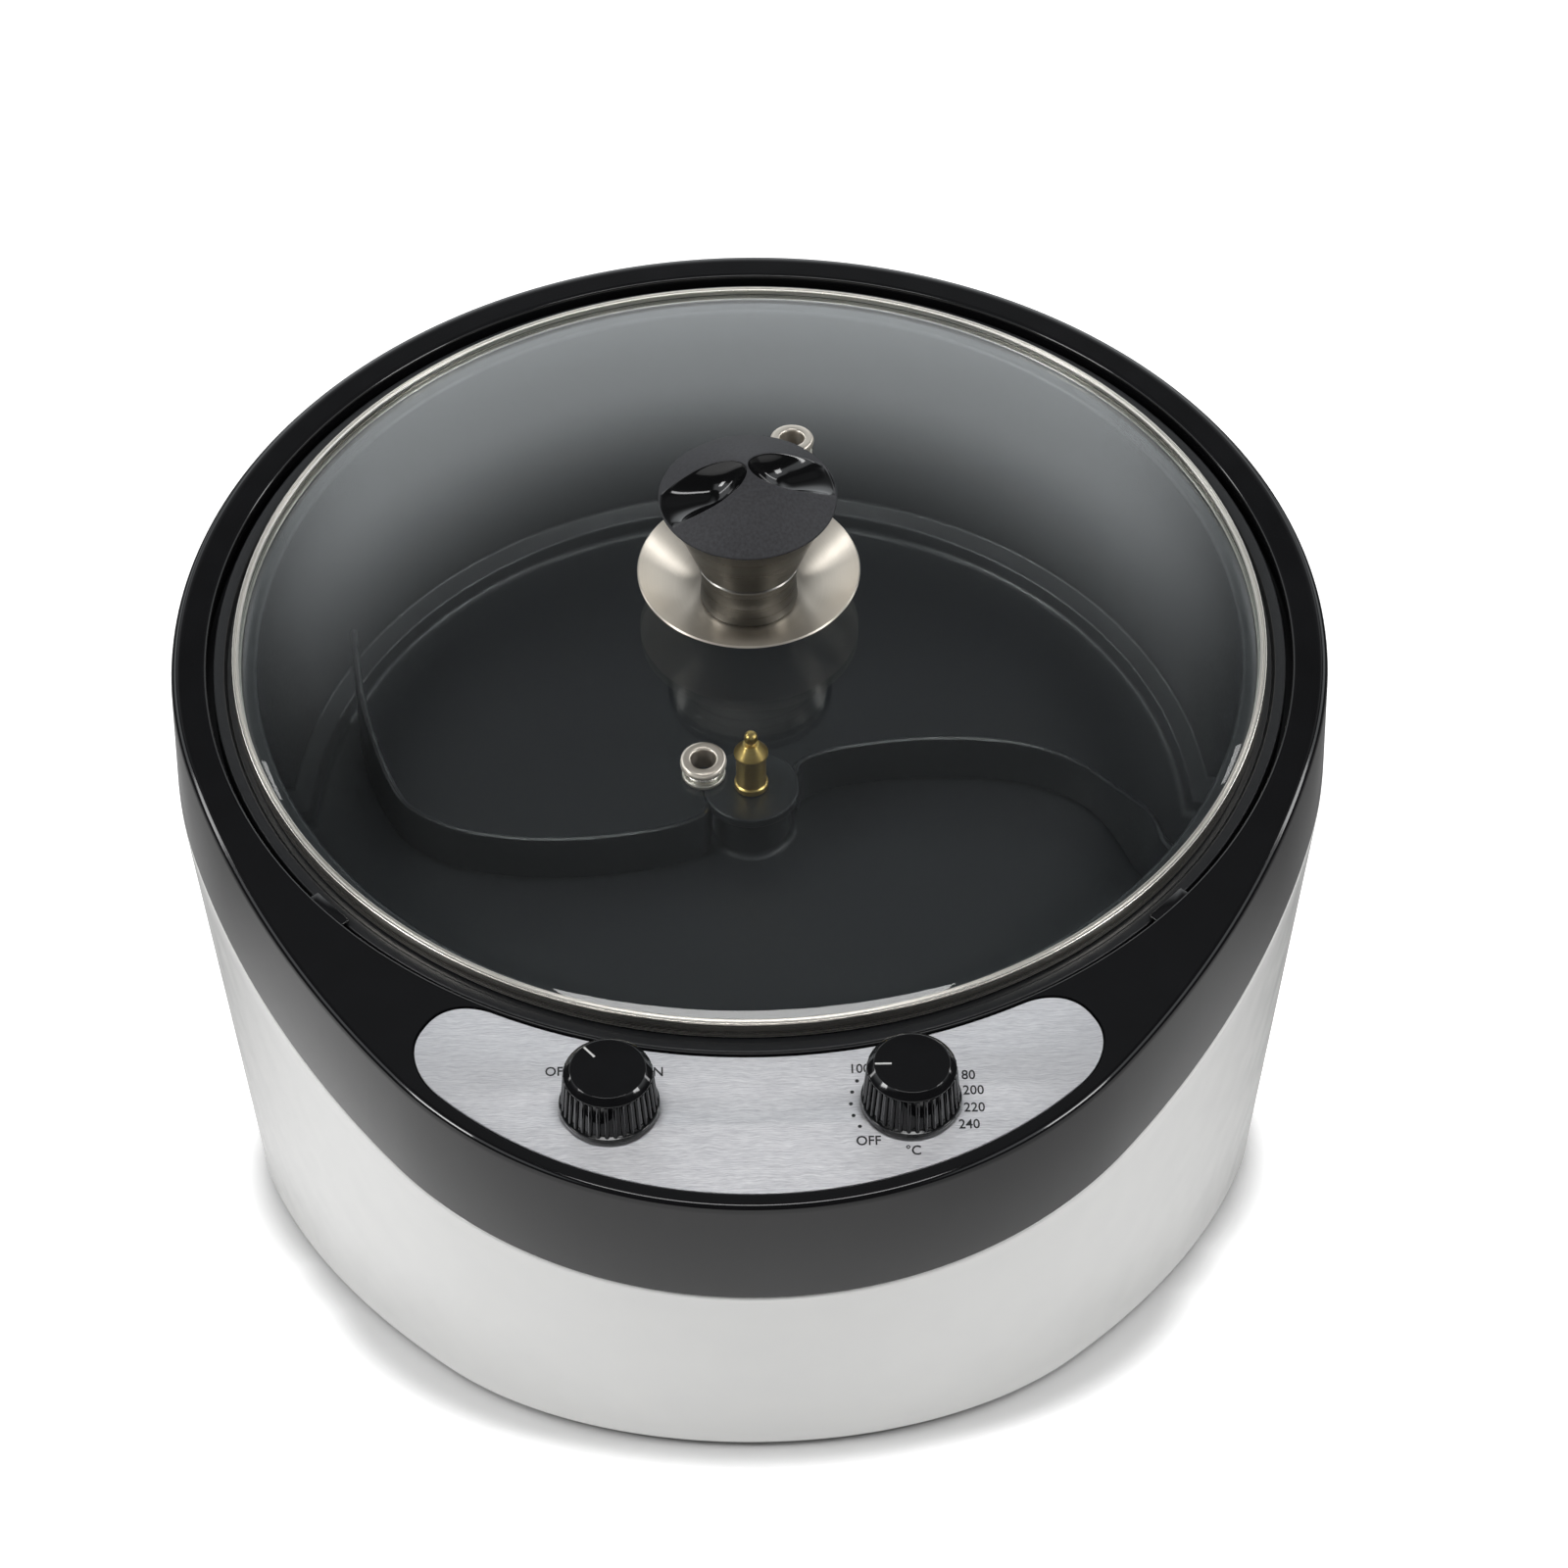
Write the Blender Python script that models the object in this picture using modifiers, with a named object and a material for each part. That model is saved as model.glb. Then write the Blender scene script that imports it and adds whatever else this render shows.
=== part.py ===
"""Home coffee bean roaster: a tilted, heated pot with a turning stirrer under a loose glass lid.

Units are metres, +Z is up and +Y points to the back. The pot, its cover, the lid and both control
knobs share the deck frame: its origin is on the pot's axis at the cover's top face, its X runs to the
right, its Y up the slope and its Z along the pot's axis. The white body carries the deck on level feet.
"""

import math

import bmesh
import bpy
from mathutils import Matrix, Vector

# Fits
fit_gap = 0.0003
running_gap = 0.0004
bolt_gap = 0.0005
cut_overrun = 0.002
weld_distance = 0.00001

# Deck and its three-arc oval outline
deck_tilt_deg = 25.0
deck_height = 0.1713
back_radius = 0.1565
flank_radius = 0.3203
nose_radius = 0.1185
front_land_width = 0.05
deck_thickness = 0.003
cover_wall = 0.0025
cover_edge_round = 0.003
skirt_depth = 0.0343
skirt_flare = 0.0014
cover_rim_width = 0.0095
recess_edge_bevel = 0.0008
ledge_width = 0.0085
ledge_thickness = 0.0044

# White body under the cover
base_inset = 0.0114
base_back_shift = 0.0622
base_front_setback = 0.0003
base_back_setback = 0.0347
body_wall = 0.0025
bead_height = 0.0014
bead_inset = 0.0009
tongue_height = 0.006
tongue_thickness = 0.002
shoulder_depth = 0.0024
base_edge_round = 0.003
base_lip_width = 0.024
base_lip_thickness = 0.0025

# Feet and base plate
foot_height = 0.0037
foot_radius = 0.009
foot_inset = 0.0125
foot_recess_radius = 0.0038
foot_recess_depth = 0.0019
foot_screw_head_radius = 0.0032
foot_screw_head_height = 0.0013
screw_radius = 0.0015
base_plate_thickness = 0.002
base_plate_inset = 0.0055
vent_slot_length = 0.05
vent_slot_width = 0.004
vent_slot_pitch = 0.011
vent_slot_count = 7
vent_slots_back = 0.075

# Control panel
panel_inner_gap = 0.0016
panel_outer_margin = 0.005
panel_thickness = 0.0008
panel_sink = 0.0002
panel_border = 0.0005
panel_half_angle_deg = 31.6
panel_cap_angle_deg = 26.5
panel_cap_power = 2.4

# Controls
control_spread = 0.0375
control_gap = 0.017
power_rest_deg = 130.0
temperature_rest_deg = 180.0
knob_foot_lift = 0.0009
knob_flange_radius = 0.0126
knob_flange_height = 0.0013
knob_skirt_radius = 0.0119
knob_skirt_top_radius = 0.011
knob_skirt_height = 0.0081
knob_collar_radius = 0.0106
knob_top_radius = 0.0102
knob_height = 0.0141
knob_flute_depth = 0.0005
knob_flute_count = 20
knob_cavity_radius = 0.0085
knob_cavity_depth = 0.0042
knob_bore_depth = 0.0114
pointer_length = 0.0062
pointer_width = 0.0014
pointer_depth = 0.0006
pointer_margin = 0.001
shaft_radius = 0.003
shaft_engagement = 0.0045
neck_radius = 0.0045
neck_height = 0.0024
nut_across_flats = 0.013
nut_thickness = 0.002
switch_size = (0.026, 0.02, 0.022)
thermostat_size = (0.03, 0.026, 0.022)
control_body_round = 0.0015

# Roasting pot
pot_edge_gap = 0.0015
pot_flange_drop = 0.0022
lid_seat_drop = 0.0036
pot_sheet = 0.0016
pot_flange_width = 0.0125
pot_mouth_round = 0.0012
pot_wall_taper = 0.0034
pot_ledge_depth = 0.072
pot_ledge_width = 0.0054
pot_depth = 0.078
pot_floor_sheet = 0.0025
pot_floor_taper = 0.0016
hub_boss_radius = 0.011
hub_boss_height = 0.013
gasket_thickness = 0.0008
gasket_inset = 0.0008
gasket_width = 0.0055

# Heat shield round the pot
shield_sheet = 0.0008
shield_air_gap = 0.0022
shield_flange_width = 0.0105
shield_foot_gap = 0.0024
shield_floor_drop = 0.0117
shield_centre_hole_radius = 0.012
shield_screw_head_radius = 0.0028
shield_screw_head_height = 0.0016
shield_screw_length = 0.0034
shield_screw_angles_deg = (45, 135, 225, 315)

# Heater and its safety parts
element_radius = 0.092
element_tube_radius = 0.004
element_gap_angle_deg = 11.0
element_leg_bend = 0.009
element_leg_length = 0.013
element_leg_clearance = 0.001
support_length = 0.014
support_width = 0.01
support_angles_deg = (90, 210, 330)
cutout_radius = 0.008
cutout_height = 0.008
cutout_offset = 0.05
bulb_radius = 0.003
bulb_offset = 0.066
capillary_radius = 0.001
capillary_hole_radius = 0.003
capillary_hole_offset = 0.084
capillary_drop = 0.007
bulb_start_deg = 235.0
bulb_end_deg = 285.0
capillary_hole_angle_deg = 301.0

# Drive under the pot
spindle_radius = 0.004
spindle_stud_radius = 0.0025
bush_wall = 0.0014
bush_flange_radius = 0.009
bush_flange_thickness = 0.003
seal_height = 0.0018
coupling_radius = 0.007
coupling_length = 0.0104
coupling_web = 0.001
output_shaft_radius = 0.003
output_shaft_depth = 0.008
bracket_length = 0.092
bracket_width = 0.034
bracket_thickness = 0.002
bracket_hole_radius = 0.0095
gearbox_radius = 0.03
gearbox_height = 0.025
gearbox_ear_length = 0.088
gearbox_ear_width = 0.014
gearbox_ear_thickness = 0.003
motor_radius = 0.025
motor_height = 0.03
motor_screw_offset = 0.037
motor_screw_radius = 0.0018
motor_screw_head_radius = 0.0034
motor_screw_head_height = 0.002
motor_screw_tail = 0.004

# Stirrer
hub_plate_radius = 0.0135
hub_plate_thickness = 0.003
hub_plate_lift = 0.001
blade_wall_gap = 0.0019
blade_thickness = 0.002
blade_floor_gap = 0.0012
blade_top_drop = 0.0006
blade_tip_rise = 0.021
blade_rise_start_share = 0.72
blade_root_shares = (0.894, 0.3665)
blade_path_shares = (
    (0.12, 0.085),
    (0.215, 0.123),
    (0.398, 0.147),
    (0.572, 0.138),
    (0.713, 0.094),
    (0.817, 0.004),
    (0.895, -0.178),
    (0.924, -0.365),
)
blade_steps = 18
nut_ring_radius = 0.00465
nut_ring_height = 0.0032
nut_barrel_radius = 0.0043
nut_barrel_height = 0.0047
nut_cone_radius = 0.0049
nut_cone_lift = 0.0016
nut_cone_height = 0.0074
nut_tip_radius = 0.0019
nut_tip_height = 0.0038

# Lid
lid_edge_margin = 0.0055
band_wall = 0.0008
band_lip_width = 0.003
band_lip_thickness = 0.0006
glass_thickness = 0.0033
glass_rise = 0.0137
vent_offset = 0.062
vent_angle_deg = 78.0
vent_hole_radius = 0.00325
vent_tube_radius = 0.0043
vent_flange_radius = 0.0061
vent_flange_height = 0.0024
vent_lower_flange_radius = 0.0057
vent_lower_flange_height = 0.0014

# Lid knob, from the glass up
saucer_sheet = 0.0008
saucer_seat_radius = 0.0134
saucer_radius = 0.0295
saucer_height = 0.0098
collar_radius = 0.0133
collar_waist_radius = 0.0126
collar_height = 0.0136
seam_radius = 0.0139
cone_radius = 0.0224
cone_height = 0.021
cap_radius = 0.0231
cap_rim_height = 0.002
cap_dome_height = 0.0098
scoop_offset = 0.0162
scoop_length = 0.0152
scoop_half_width = 0.0085
scoop_depth = 0.009
scoop_turn_deg = 12.0
knob_screw_radius = 0.0028
knob_screw_head_radius = 0.0058
knob_screw_head_height = 0.0022
knob_screw_reach = 0.0105
knob_washer_radius = 0.0095
knob_washer_thickness = 0.001

# Rear power inlet
inlet_height = 0.038
inlet_flange_size = (0.032, 0.0256)
inlet_flange_thickness = 0.0016
inlet_flange_sink = 0.0017
inlet_body_size = (0.028, 0.0204)
inlet_body_depth = 0.02
inlet_socket_size = (0.0244, 0.0166)
inlet_socket_depth = 0.0155
inlet_corner_bevel = 0.003
inlet_boss_margin = 0.0042
inlet_boss_depth = 0.004
boss_skin = 0.001
inlet_pin_size = (0.002, 0.004)
inlet_pin_length = 0.0115
inlet_pin_root = 0.0025
inlet_pin_spacing = 0.007
inlet_earth_offset = 0.004
terminal_size = (0.04, 0.018, 0.014)
terminal_place = (-0.055, 0.1)
terminal_round = 0.001

# Facets round each shape
back_steps = 34
flank_steps = 5
nose_steps = 16
large_steps = 44
medium_steps = 28
small_steps = 20
fine_steps = 12
sharp_angle_deg = 35.0

# Colours, roughness and metallic value of each finish
finishes = {
    "black_gloss": ((0.011, 0.011, 0.012), 0.12, 0.0),
    "white_gloss": ((0.84, 0.84, 0.83), 0.22, 0.0),
    "brushed_panel": ((0.56, 0.56, 0.57), 0.34, 1.0),
    "satin_steel": ((0.62, 0.6, 0.57), 0.28, 1.0),
    "dark_steel": ((0.2, 0.2, 0.2), 0.32, 1.0),
    "pot_coating": ((0.028, 0.029, 0.031), 0.42, 0.0),
    "zinc_sheet": ((0.55, 0.56, 0.57), 0.42, 1.0),
    "knob_black": ((0.012, 0.012, 0.013), 0.25, 0.0),
    "cap_black": ((0.016, 0.016, 0.017), 0.2, 0.0),
    "inner_plastic": ((0.06, 0.06, 0.06), 0.5, 0.0),
    "rubber": ((0.02, 0.02, 0.02), 0.8, 0.0),
    "brass": ((0.72, 0.5, 0.18), 0.25, 1.0),
    "copper": ((0.7, 0.36, 0.22), 0.35, 1.0),
    "ceramic": ((0.75, 0.72, 0.66), 0.6, 0.0),
    "glass": ((0.82, 0.86, 0.87), 0.03, 0.0),
}

# Reaches and radii about the pot's axis, from the cover's back arc inwards
recess_radius = back_radius - cover_rim_width
nose_reach = recess_radius + front_land_width
control_back = -(recess_radius + control_gap)
base_front_reach = nose_reach - base_front_setback
base_back_reach = back_radius - base_back_setback
pot_rim_radius = recess_radius - pot_edge_gap
pot_mouth_radius = pot_rim_radius - pot_flange_width
pot_wall_foot_radius = pot_mouth_radius - pot_wall_taper
pot_ledge_inner_radius = pot_wall_foot_radius - pot_ledge_width
pot_floor_radius = pot_ledge_inner_radius - pot_floor_taper
shield_foot_radius = pot_wall_foot_radius + shield_foot_gap
blade_reach = pot_floor_radius - blade_wall_gap
lid_radius = pot_rim_radius - lid_edge_margin

# Levels along the pot's axis, measured from the deck's top face
deck_tilt = math.radians(deck_tilt_deg)
band_bottom_level = -lid_seat_drop + fit_gap
band_seat_level = band_bottom_level + band_lip_thickness + fit_gap
glass_edge_level = band_seat_level + glass_thickness
glass_top_level = glass_edge_level + glass_rise
pot_flange_level = -lid_seat_drop - pot_sheet
gasket_level = pot_flange_level - fit_gap - gasket_thickness
ledge_level = gasket_level - fit_gap
shield_top_level = ledge_level - ledge_thickness - fit_gap
pot_floor_level = -pot_depth
pot_under_level = -pot_depth - pot_floor_sheet
hub_boss_level = pot_floor_level + hub_boss_height
hub_plate_level = hub_boss_level + hub_plate_lift
element_level = pot_under_level - fit_gap - element_tube_radius
shield_floor_level = pot_under_level - shield_floor_drop
shield_under_level = shield_floor_level - shield_sheet
bracket_level = shield_under_level - fit_gap
gearbox_level = bracket_level - bracket_thickness - fit_gap
bush_bore_radius = spindle_radius + running_gap
bush_radius = bush_bore_radius + bush_wall
bush_hole_radius = bush_radius + fit_gap
bush_flange_level = pot_under_level - fit_gap
coupling_top_level = gearbox_level + fit_gap + coupling_length
shell_top_level = -skirt_depth - fit_gap
shell_bottom = foot_height + fit_gap
lip_top = shell_bottom + base_lip_thickness


def oval_arcs():
    """Centre x, centre y, radius, first angle, last angle and steps of the outline's four arcs."""
    drop = nose_reach - nose_radius
    to_back = flank_radius - back_radius
    to_nose = flank_radius - nose_radius
    centre_y = (to_nose**2 - to_back**2 - drop**2) / (2 * drop)
    centre_x = math.sqrt(to_back**2 - centre_y**2)
    wrap = math.atan2(centre_y, centre_x)
    turn = math.atan2(centre_y + drop, centre_x)
    return (
        (0, 0, back_radius, -wrap, math.pi + wrap, back_steps),
        (centre_x, centre_y, flank_radius, math.pi + wrap, math.pi + turn, flank_steps),
        (0, -drop, nose_radius, math.pi + turn, 2 * math.pi - turn, nose_steps),
        (-centre_x, centre_y, flank_radius, -turn, -wrap, flank_steps),
    )


def oval(inset):
    """Outline points of the deck drawn in by inset, counter-clockwise, starting at the right."""
    points = []
    for centre_x, centre_y, radius, first, last, steps in oval_arcs():
        for step in range(steps):
            angle = first + (last - first) * step / steps
            reach = radius - inset
            points.append((centre_x + reach * math.cos(angle), centre_y + reach * math.sin(angle)))
    return points


def oval_ring(inset, level):
    """Ring of the deck's outline at a level of the deck frame."""
    return [Vector((u, v, level)) for u, v in oval(inset)]


def round_ring(radius, level):
    """Circle about the pot's axis, with one point facing each point of the outline."""
    ring = []
    for u, v in oval(0):
        angle = math.atan2(v, u)
        ring.append(Vector((radius * math.cos(angle), radius * math.sin(angle), level)))
    return ring


def base_outline(inset):
    """Level outline of the body's foot, from the deck's oval, shortened at the back."""
    front_share = base_front_reach / (nose_reach - base_inset)
    back_share = base_back_reach / (back_radius - base_inset)
    points = []
    for u, v in oval(base_inset + inset):
        share = back_share if v > 0 else front_share
        points.append((u, base_back_shift + v * share))
    return points


def place_deck():
    """World place of the deck frame: the whole outline is centred front to back over the origin."""
    slope = math.cos(deck_tilt)
    fall = math.sin(deck_tilt)
    corner = cover_edge_round * (1 - math.cos(math.pi / 4))
    front = min(
        -(nose_reach - corner) * slope + corner * fall,
        -nose_reach * slope + cover_edge_round * fall,
    )
    back = base_back_shift + base_back_reach
    return Vector((0, -(front + back) / 2, shell_bottom + deck_height))


deck_place = place_deck()
deck_matrix = Matrix.Translation(deck_place) @ Matrix.Rotation(deck_tilt, 4, "X")


def base_ring(inset, height):
    """Ring of the body's foot outline at a world height."""
    return [Vector((x, deck_place.y + y, height)) for x, y in base_outline(inset)]


def deck_ring_in_world(inset, level):
    """Ring of the deck's outline, turned into world coordinates."""
    return [deck_matrix @ point for point in oval_ring(inset, level)]


def circle(radius, steps, centre=(0, 0)):
    """Points of a circle, counter-clockwise."""
    points = []
    for step in range(steps):
        angle = 2 * math.pi * step / steps
        points.append((centre[0] + radius * math.cos(angle), centre[1] + radius * math.sin(angle)))
    return points


def slot(length, width, centre, end_steps=2):
    """Points of a slot with round ends, lying along X."""
    points = []
    for side, start in ((1, -math.pi / 2), (-1, math.pi / 2)):
        for step in range(end_steps + 1):
            angle = start + math.pi * step / end_steps
            x = centre[0] + side * (length - width) / 2 + width / 2 * math.cos(angle)
            points.append((x, centre[1] + width / 2 * math.sin(angle)))
    return points


def smooth_path(route, steps):
    """Evenly stepped points on a Catmull-Rom curve through the route's points."""
    knots = [2 * route[0] - route[1], *route, 2 * route[-1] - route[-2]]
    spans = len(route) - 1
    points = []
    for step in range(steps + 1):
        place = spans * step / steps
        span = min(int(place), spans - 1)
        t = place - span
        a, b, c, d = knots[span : span + 4]
        points.append(
            (2 * b + (c - a) * t + (2 * a - 5 * b + 4 * c - d) * t**2 + (3 * b - a - 3 * c + d) * t**3) / 2
        )
    return points


# Scene set-up
for old_object in list(bpy.data.objects):
    bpy.data.objects.remove(old_object, do_unlink=True)

part_collection = bpy.data.collections.new("coffee_bean_roaster")
cutter_collection = bpy.data.collections.new("cutters")
bpy.context.scene.collection.children.link(part_collection)
bpy.context.scene.collection.children.link(cutter_collection)


def add_empty(name, matrix, parent=None):
    """Frame that pieces are parented to."""
    empty = bpy.data.objects.new(name, None)
    empty.empty_display_size = foot_radius
    part_collection.objects.link(empty)
    empty.parent = parent
    empty.matrix_local = matrix
    return empty


def shift(x=0, y=0, z=0):
    """Matrix of a plain move."""
    return Matrix.Translation((x, y, z))


def material(finish):
    """Principled material of a finish, made once."""
    found = bpy.data.materials.get(finish)
    if found:
        return found
    colour, roughness, metallic = finishes[finish]
    made = bpy.data.materials.new(finish)
    made.use_nodes = True
    shader = made.node_tree.nodes["Principled BSDF"]
    shader.inputs["Base Color"].default_value = (*colour, 1)
    shader.inputs["Roughness"].default_value = roughness
    shader.inputs["Metallic"].default_value = metallic
    return made


def add_object(name, data, finish, parent, matrix=None):
    """Link a piece, or a cutter where no finish is given."""
    piece = bpy.data.objects.new(name, data)
    if finish is None:
        cutter_collection.objects.link(piece)
        piece.hide_render = True
        piece.display_type = "WIRE"
    else:
        part_collection.objects.link(piece)
        data.materials.append(material(finish))
    piece.parent = parent
    piece.matrix_local = matrix or Matrix.Identity(4)
    return piece


def mesh_from(builder, name):
    """Mesh data from a bmesh that builder fills in."""
    sketch = bmesh.new()
    builder(sketch)
    data = bpy.data.meshes.new(name)
    sketch.to_mesh(data)
    sketch.free()
    data.shade_smooth()
    data.set_sharp_from_angle(angle=math.radians(sharp_angle_deg))
    return data


def turned(name, profile, steps, finish, parent, matrix=None):
    """Turned piece: a profile of radius and level, down the outside and back up the inside."""

    def build(sketch):
        corners = [sketch.verts.new((radius, 0, level)) for radius, level in profile]
        for first, second in zip(corners, corners[1:]):
            sketch.edges.new((first, second))
        if profile[0][0] > 0:
            sketch.edges.new((corners[-1], corners[0]))

    piece = add_object(name, mesh_from(build, name), finish, parent, matrix)
    screw = piece.modifiers.new("turn", "SCREW")
    screw.steps = steps
    screw.render_steps = steps
    screw.use_merge_vertices = True
    screw.merge_threshold = weld_distance
    screw.use_smooth_shade = True
    return piece


def ring_loft(name, rings, finish, parent, around=True, matrix=None):
    """Skin over equal rings of points, joined back to the first ring or closed by two flat ends."""

    def build(sketch):
        loops = [[sketch.verts.new(point) for point in ring] for ring in rings]
        count = len(loops[0])
        pairs = list(zip(loops, loops[1:]))
        if around:
            pairs.append((loops[-1], loops[0]))
        for near, far in pairs:
            for i in range(count):
                j = (i + 1) % count
                sketch.faces.new((near[i], near[j], far[j], far[i]))
        if not around:
            sketch.faces.new(loops[0])
            sketch.faces.new(loops[-1])
        bmesh.ops.recalc_face_normals(sketch, faces=sketch.faces)

    return add_object(name, mesh_from(build, name), finish, parent, matrix)


def plate(name, outline, holes, thickness, finish, parent, matrix=None):
    """Flat plate from a filled 2D curve, its underside at level zero."""
    curve = bpy.data.curves.new(name, "CURVE")
    curve.dimensions = "2D"
    curve.fill_mode = "BOTH"
    curve.extrude = thickness / 2
    for loop in (outline, *holes):
        spline = curve.splines.new("POLY")
        spline.points.add(len(loop) - 1)
        for point, (x, y) in zip(spline.points, loop):
            point.co = (x, y, 0, 1)
        spline.use_cyclic_u = True
    sketch_object = bpy.data.objects.new(name + "_curve", curve)
    cutter_collection.objects.link(sketch_object)
    bpy.context.view_layer.update()
    flat = bpy.data.meshes.new_from_object(sketch_object.evaluated_get(bpy.context.evaluated_depsgraph_get()))
    bpy.data.objects.remove(sketch_object)

    def build(sketch):
        sketch.from_mesh(flat)
        bmesh.ops.remove_doubles(sketch, verts=sketch.verts, dist=weld_distance)
        bmesh.ops.translate(sketch, verts=sketch.verts, vec=(0, 0, thickness / 2))
        bmesh.ops.recalc_face_normals(sketch, faces=sketch.faces)

    return add_object(name, mesh_from(build, name), finish, parent, matrix)


def tube(name, points, radii, finish, parent):
    """Round tube along points, with a radius at each point and filled ends."""
    curve = bpy.data.curves.new(name, "CURVE")
    curve.dimensions = "3D"
    curve.bevel_depth = max(radii)
    curve.bevel_resolution = 2
    curve.use_fill_caps = True
    spline = curve.splines.new("POLY")
    spline.points.add(len(points) - 1)
    for point, place, radius in zip(spline.points, points, radii):
        point.co = (*place, 1)
        point.radius = radius / max(radii)
    return add_object(name, curve, finish, parent)


def cylinder(name, radius, bottom, top, steps, finish, parent, matrix=None):
    """Upright cylinder between two levels."""

    def build(sketch):
        bmesh.ops.create_cone(
            sketch,
            cap_ends=True,
            segments=steps,
            radius1=radius,
            radius2=radius,
            depth=top - bottom,
            matrix=shift(z=(top + bottom) / 2),
        )

    return add_object(name, mesh_from(build, name), finish, parent, matrix)


def box(name, size, centre, bevel, finish, parent, matrix=None):
    """Box of a size about a centre, with its edges bevelled."""

    def build(sketch):
        bmesh.ops.create_cube(sketch, size=1)
        bmesh.ops.scale(sketch, verts=sketch.verts, vec=size)
        bmesh.ops.translate(sketch, verts=sketch.verts, vec=centre)

    piece = add_object(name, mesh_from(build, name), finish, parent, matrix)
    if bevel:
        rounding = piece.modifiers.new("rounding", "BEVEL")
        rounding.width = bevel
        rounding.segments = 1
    return piece


def combine(piece, other, operation):
    """Boolean of a piece with a helper object."""
    boolean = piece.modifiers.new(operation.lower() + "_" + other.name, "BOOLEAN")
    boolean.operation = operation
    boolean.object = other
    boolean.solver = "EXACT"


def cut(piece, other):
    combine(piece, other, "DIFFERENCE")


def join(piece, other):
    combine(piece, other, "UNION")


def drill(piece, name, radius, bottom, top, parent, place, steps=small_steps):
    """Round hole through a piece, along its parent's Z."""
    x, y = place
    cut(piece, cylinder(name, radius, bottom, top, steps, None, parent, shift(x, y)))


def polar(radius, angle_deg):
    """Plan point at a radius and an angle."""
    angle = math.radians(angle_deg)
    return radius * math.cos(angle), radius * math.sin(angle)


# Frames and joint axes
deck = add_empty("deck_frame", deck_matrix)
stirrer_axis = add_empty("stirrer_axis", shift(), deck)
lid_axis = add_empty("lid_axis", shift(), deck)
power_axis = add_empty(
    "power_knob_axis",
    shift(-control_spread, control_back) @ Matrix.Rotation(math.radians(power_rest_deg), 4, "Z"),
    deck,
)
temperature_axis = add_empty(
    "temperature_knob_axis",
    shift(control_spread, control_back) @ Matrix.Rotation(math.radians(temperature_rest_deg), 4, "Z"),
    deck,
)
control_places = {"power": (-control_spread, control_back), "temperature": (control_spread, control_back)}
shield_screw_offset = recess_radius + cover_wall - (ledge_width + cover_wall) / 2


# Top cover: deck, skirt, recess wall and the ledge that carries the pot
def panel_outline(grow):
    """Crescent between the recess and the cover's front edge, with rounded ends."""
    inner = recess_radius + panel_inner_gap - grow
    tip = math.radians(panel_half_angle_deg) + grow / recess_radius
    cap = math.radians(panel_cap_angle_deg)
    outer_points = oval(panel_outer_margin - grow)
    near_edge, far_edge = [], []
    middle_steps = 12
    cap_steps = 7
    turns = [cap * (2 * step / middle_steps - 1) for step in range(middle_steps + 1)]
    ends = [cap + (tip - cap) * math.sin(math.pi / 2 * (step + 1) / cap_steps) for step in range(cap_steps)]
    for turn in [-end for end in reversed(ends)] + turns + ends:
        outer = outline_reach(outer_points, turn)
        past = max(0, abs(turn) - cap) / (tip - cap)
        half = (outer - inner) / 2 * max(0, 1 - past**panel_cap_power) ** (1 / panel_cap_power)
        middle = (outer + inner) / 2
        near_edge.append(((middle - half) * math.sin(turn), -(middle - half) * math.cos(turn)))
        far_edge.append(((middle + half) * math.sin(turn), -(middle + half) * math.cos(turn)))
    return far_edge + near_edge[-2:0:-1]


def outline_reach(points, turn):
    """Distance from the pot's axis to a closed outline, at an angle turned from straight ahead."""
    ahead = Vector((math.sin(turn), -math.cos(turn)))
    side = Vector((ahead.y, -ahead.x))
    for (x1, y1), (x2, y2) in zip(points, points[1:] + points[:1]):
        start, end = Vector((x1, y1)), Vector((x2, y2))
        from_side, to_side = start.dot(side), end.dot(side)
        if from_side * to_side <= 0 and start.dot(ahead) > 0 and from_side != to_side:
            return start.lerp(end, from_side / (from_side - to_side)).dot(ahead)
    return nose_reach


def make_top_cover():
    corner = cover_edge_round * (1 - math.cos(math.pi / 4))
    ledge_inner = recess_radius - ledge_width
    rings = [
        round_ring(recess_radius, -recess_edge_bevel),
        round_ring(recess_radius + recess_edge_bevel, 0),
        oval_ring(cover_edge_round, 0),
        oval_ring(corner, -corner),
        oval_ring(0, -cover_edge_round),
        oval_ring(-skirt_flare, -skirt_depth),
        oval_ring(cover_wall - skirt_flare, -skirt_depth),
        oval_ring(cover_wall, -deck_thickness),
        round_ring(recess_radius + cover_wall, -deck_thickness),
        round_ring(recess_radius + cover_wall, ledge_level - ledge_thickness),
        round_ring(ledge_inner, ledge_level - ledge_thickness),
        round_ring(ledge_inner, ledge_level),
        round_ring(recess_radius, ledge_level),
    ]
    cover = ring_loft("top_cover", rings, "black_gloss", deck)
    pocket_depth = panel_sink + panel_thickness + fit_gap
    pocket = plate(
        "panel_pocket_cutter",
        panel_outline(panel_border),
        (),
        pocket_depth + cut_overrun,
        None,
        deck,
        shift(z=-pocket_depth),
    )
    cut(cover, pocket)
    for side, place in control_places.items():
        name = side + "_hole_cutter"
        drill(cover, name, neck_radius + bolt_gap, -deck_thickness - cut_overrun, cut_overrun, deck, place)
    for index, angle in enumerate(shield_screw_angles_deg):
        drill(
            cover,
            f"ledge_hole_cutter_{index + 1}",
            screw_radius + fit_gap,
            ledge_level - ledge_thickness - cut_overrun,
            ledge_level - ledge_thickness + shield_screw_length,
            deck,
            polar(shield_screw_offset, angle),
            fine_steps,
        )


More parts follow.
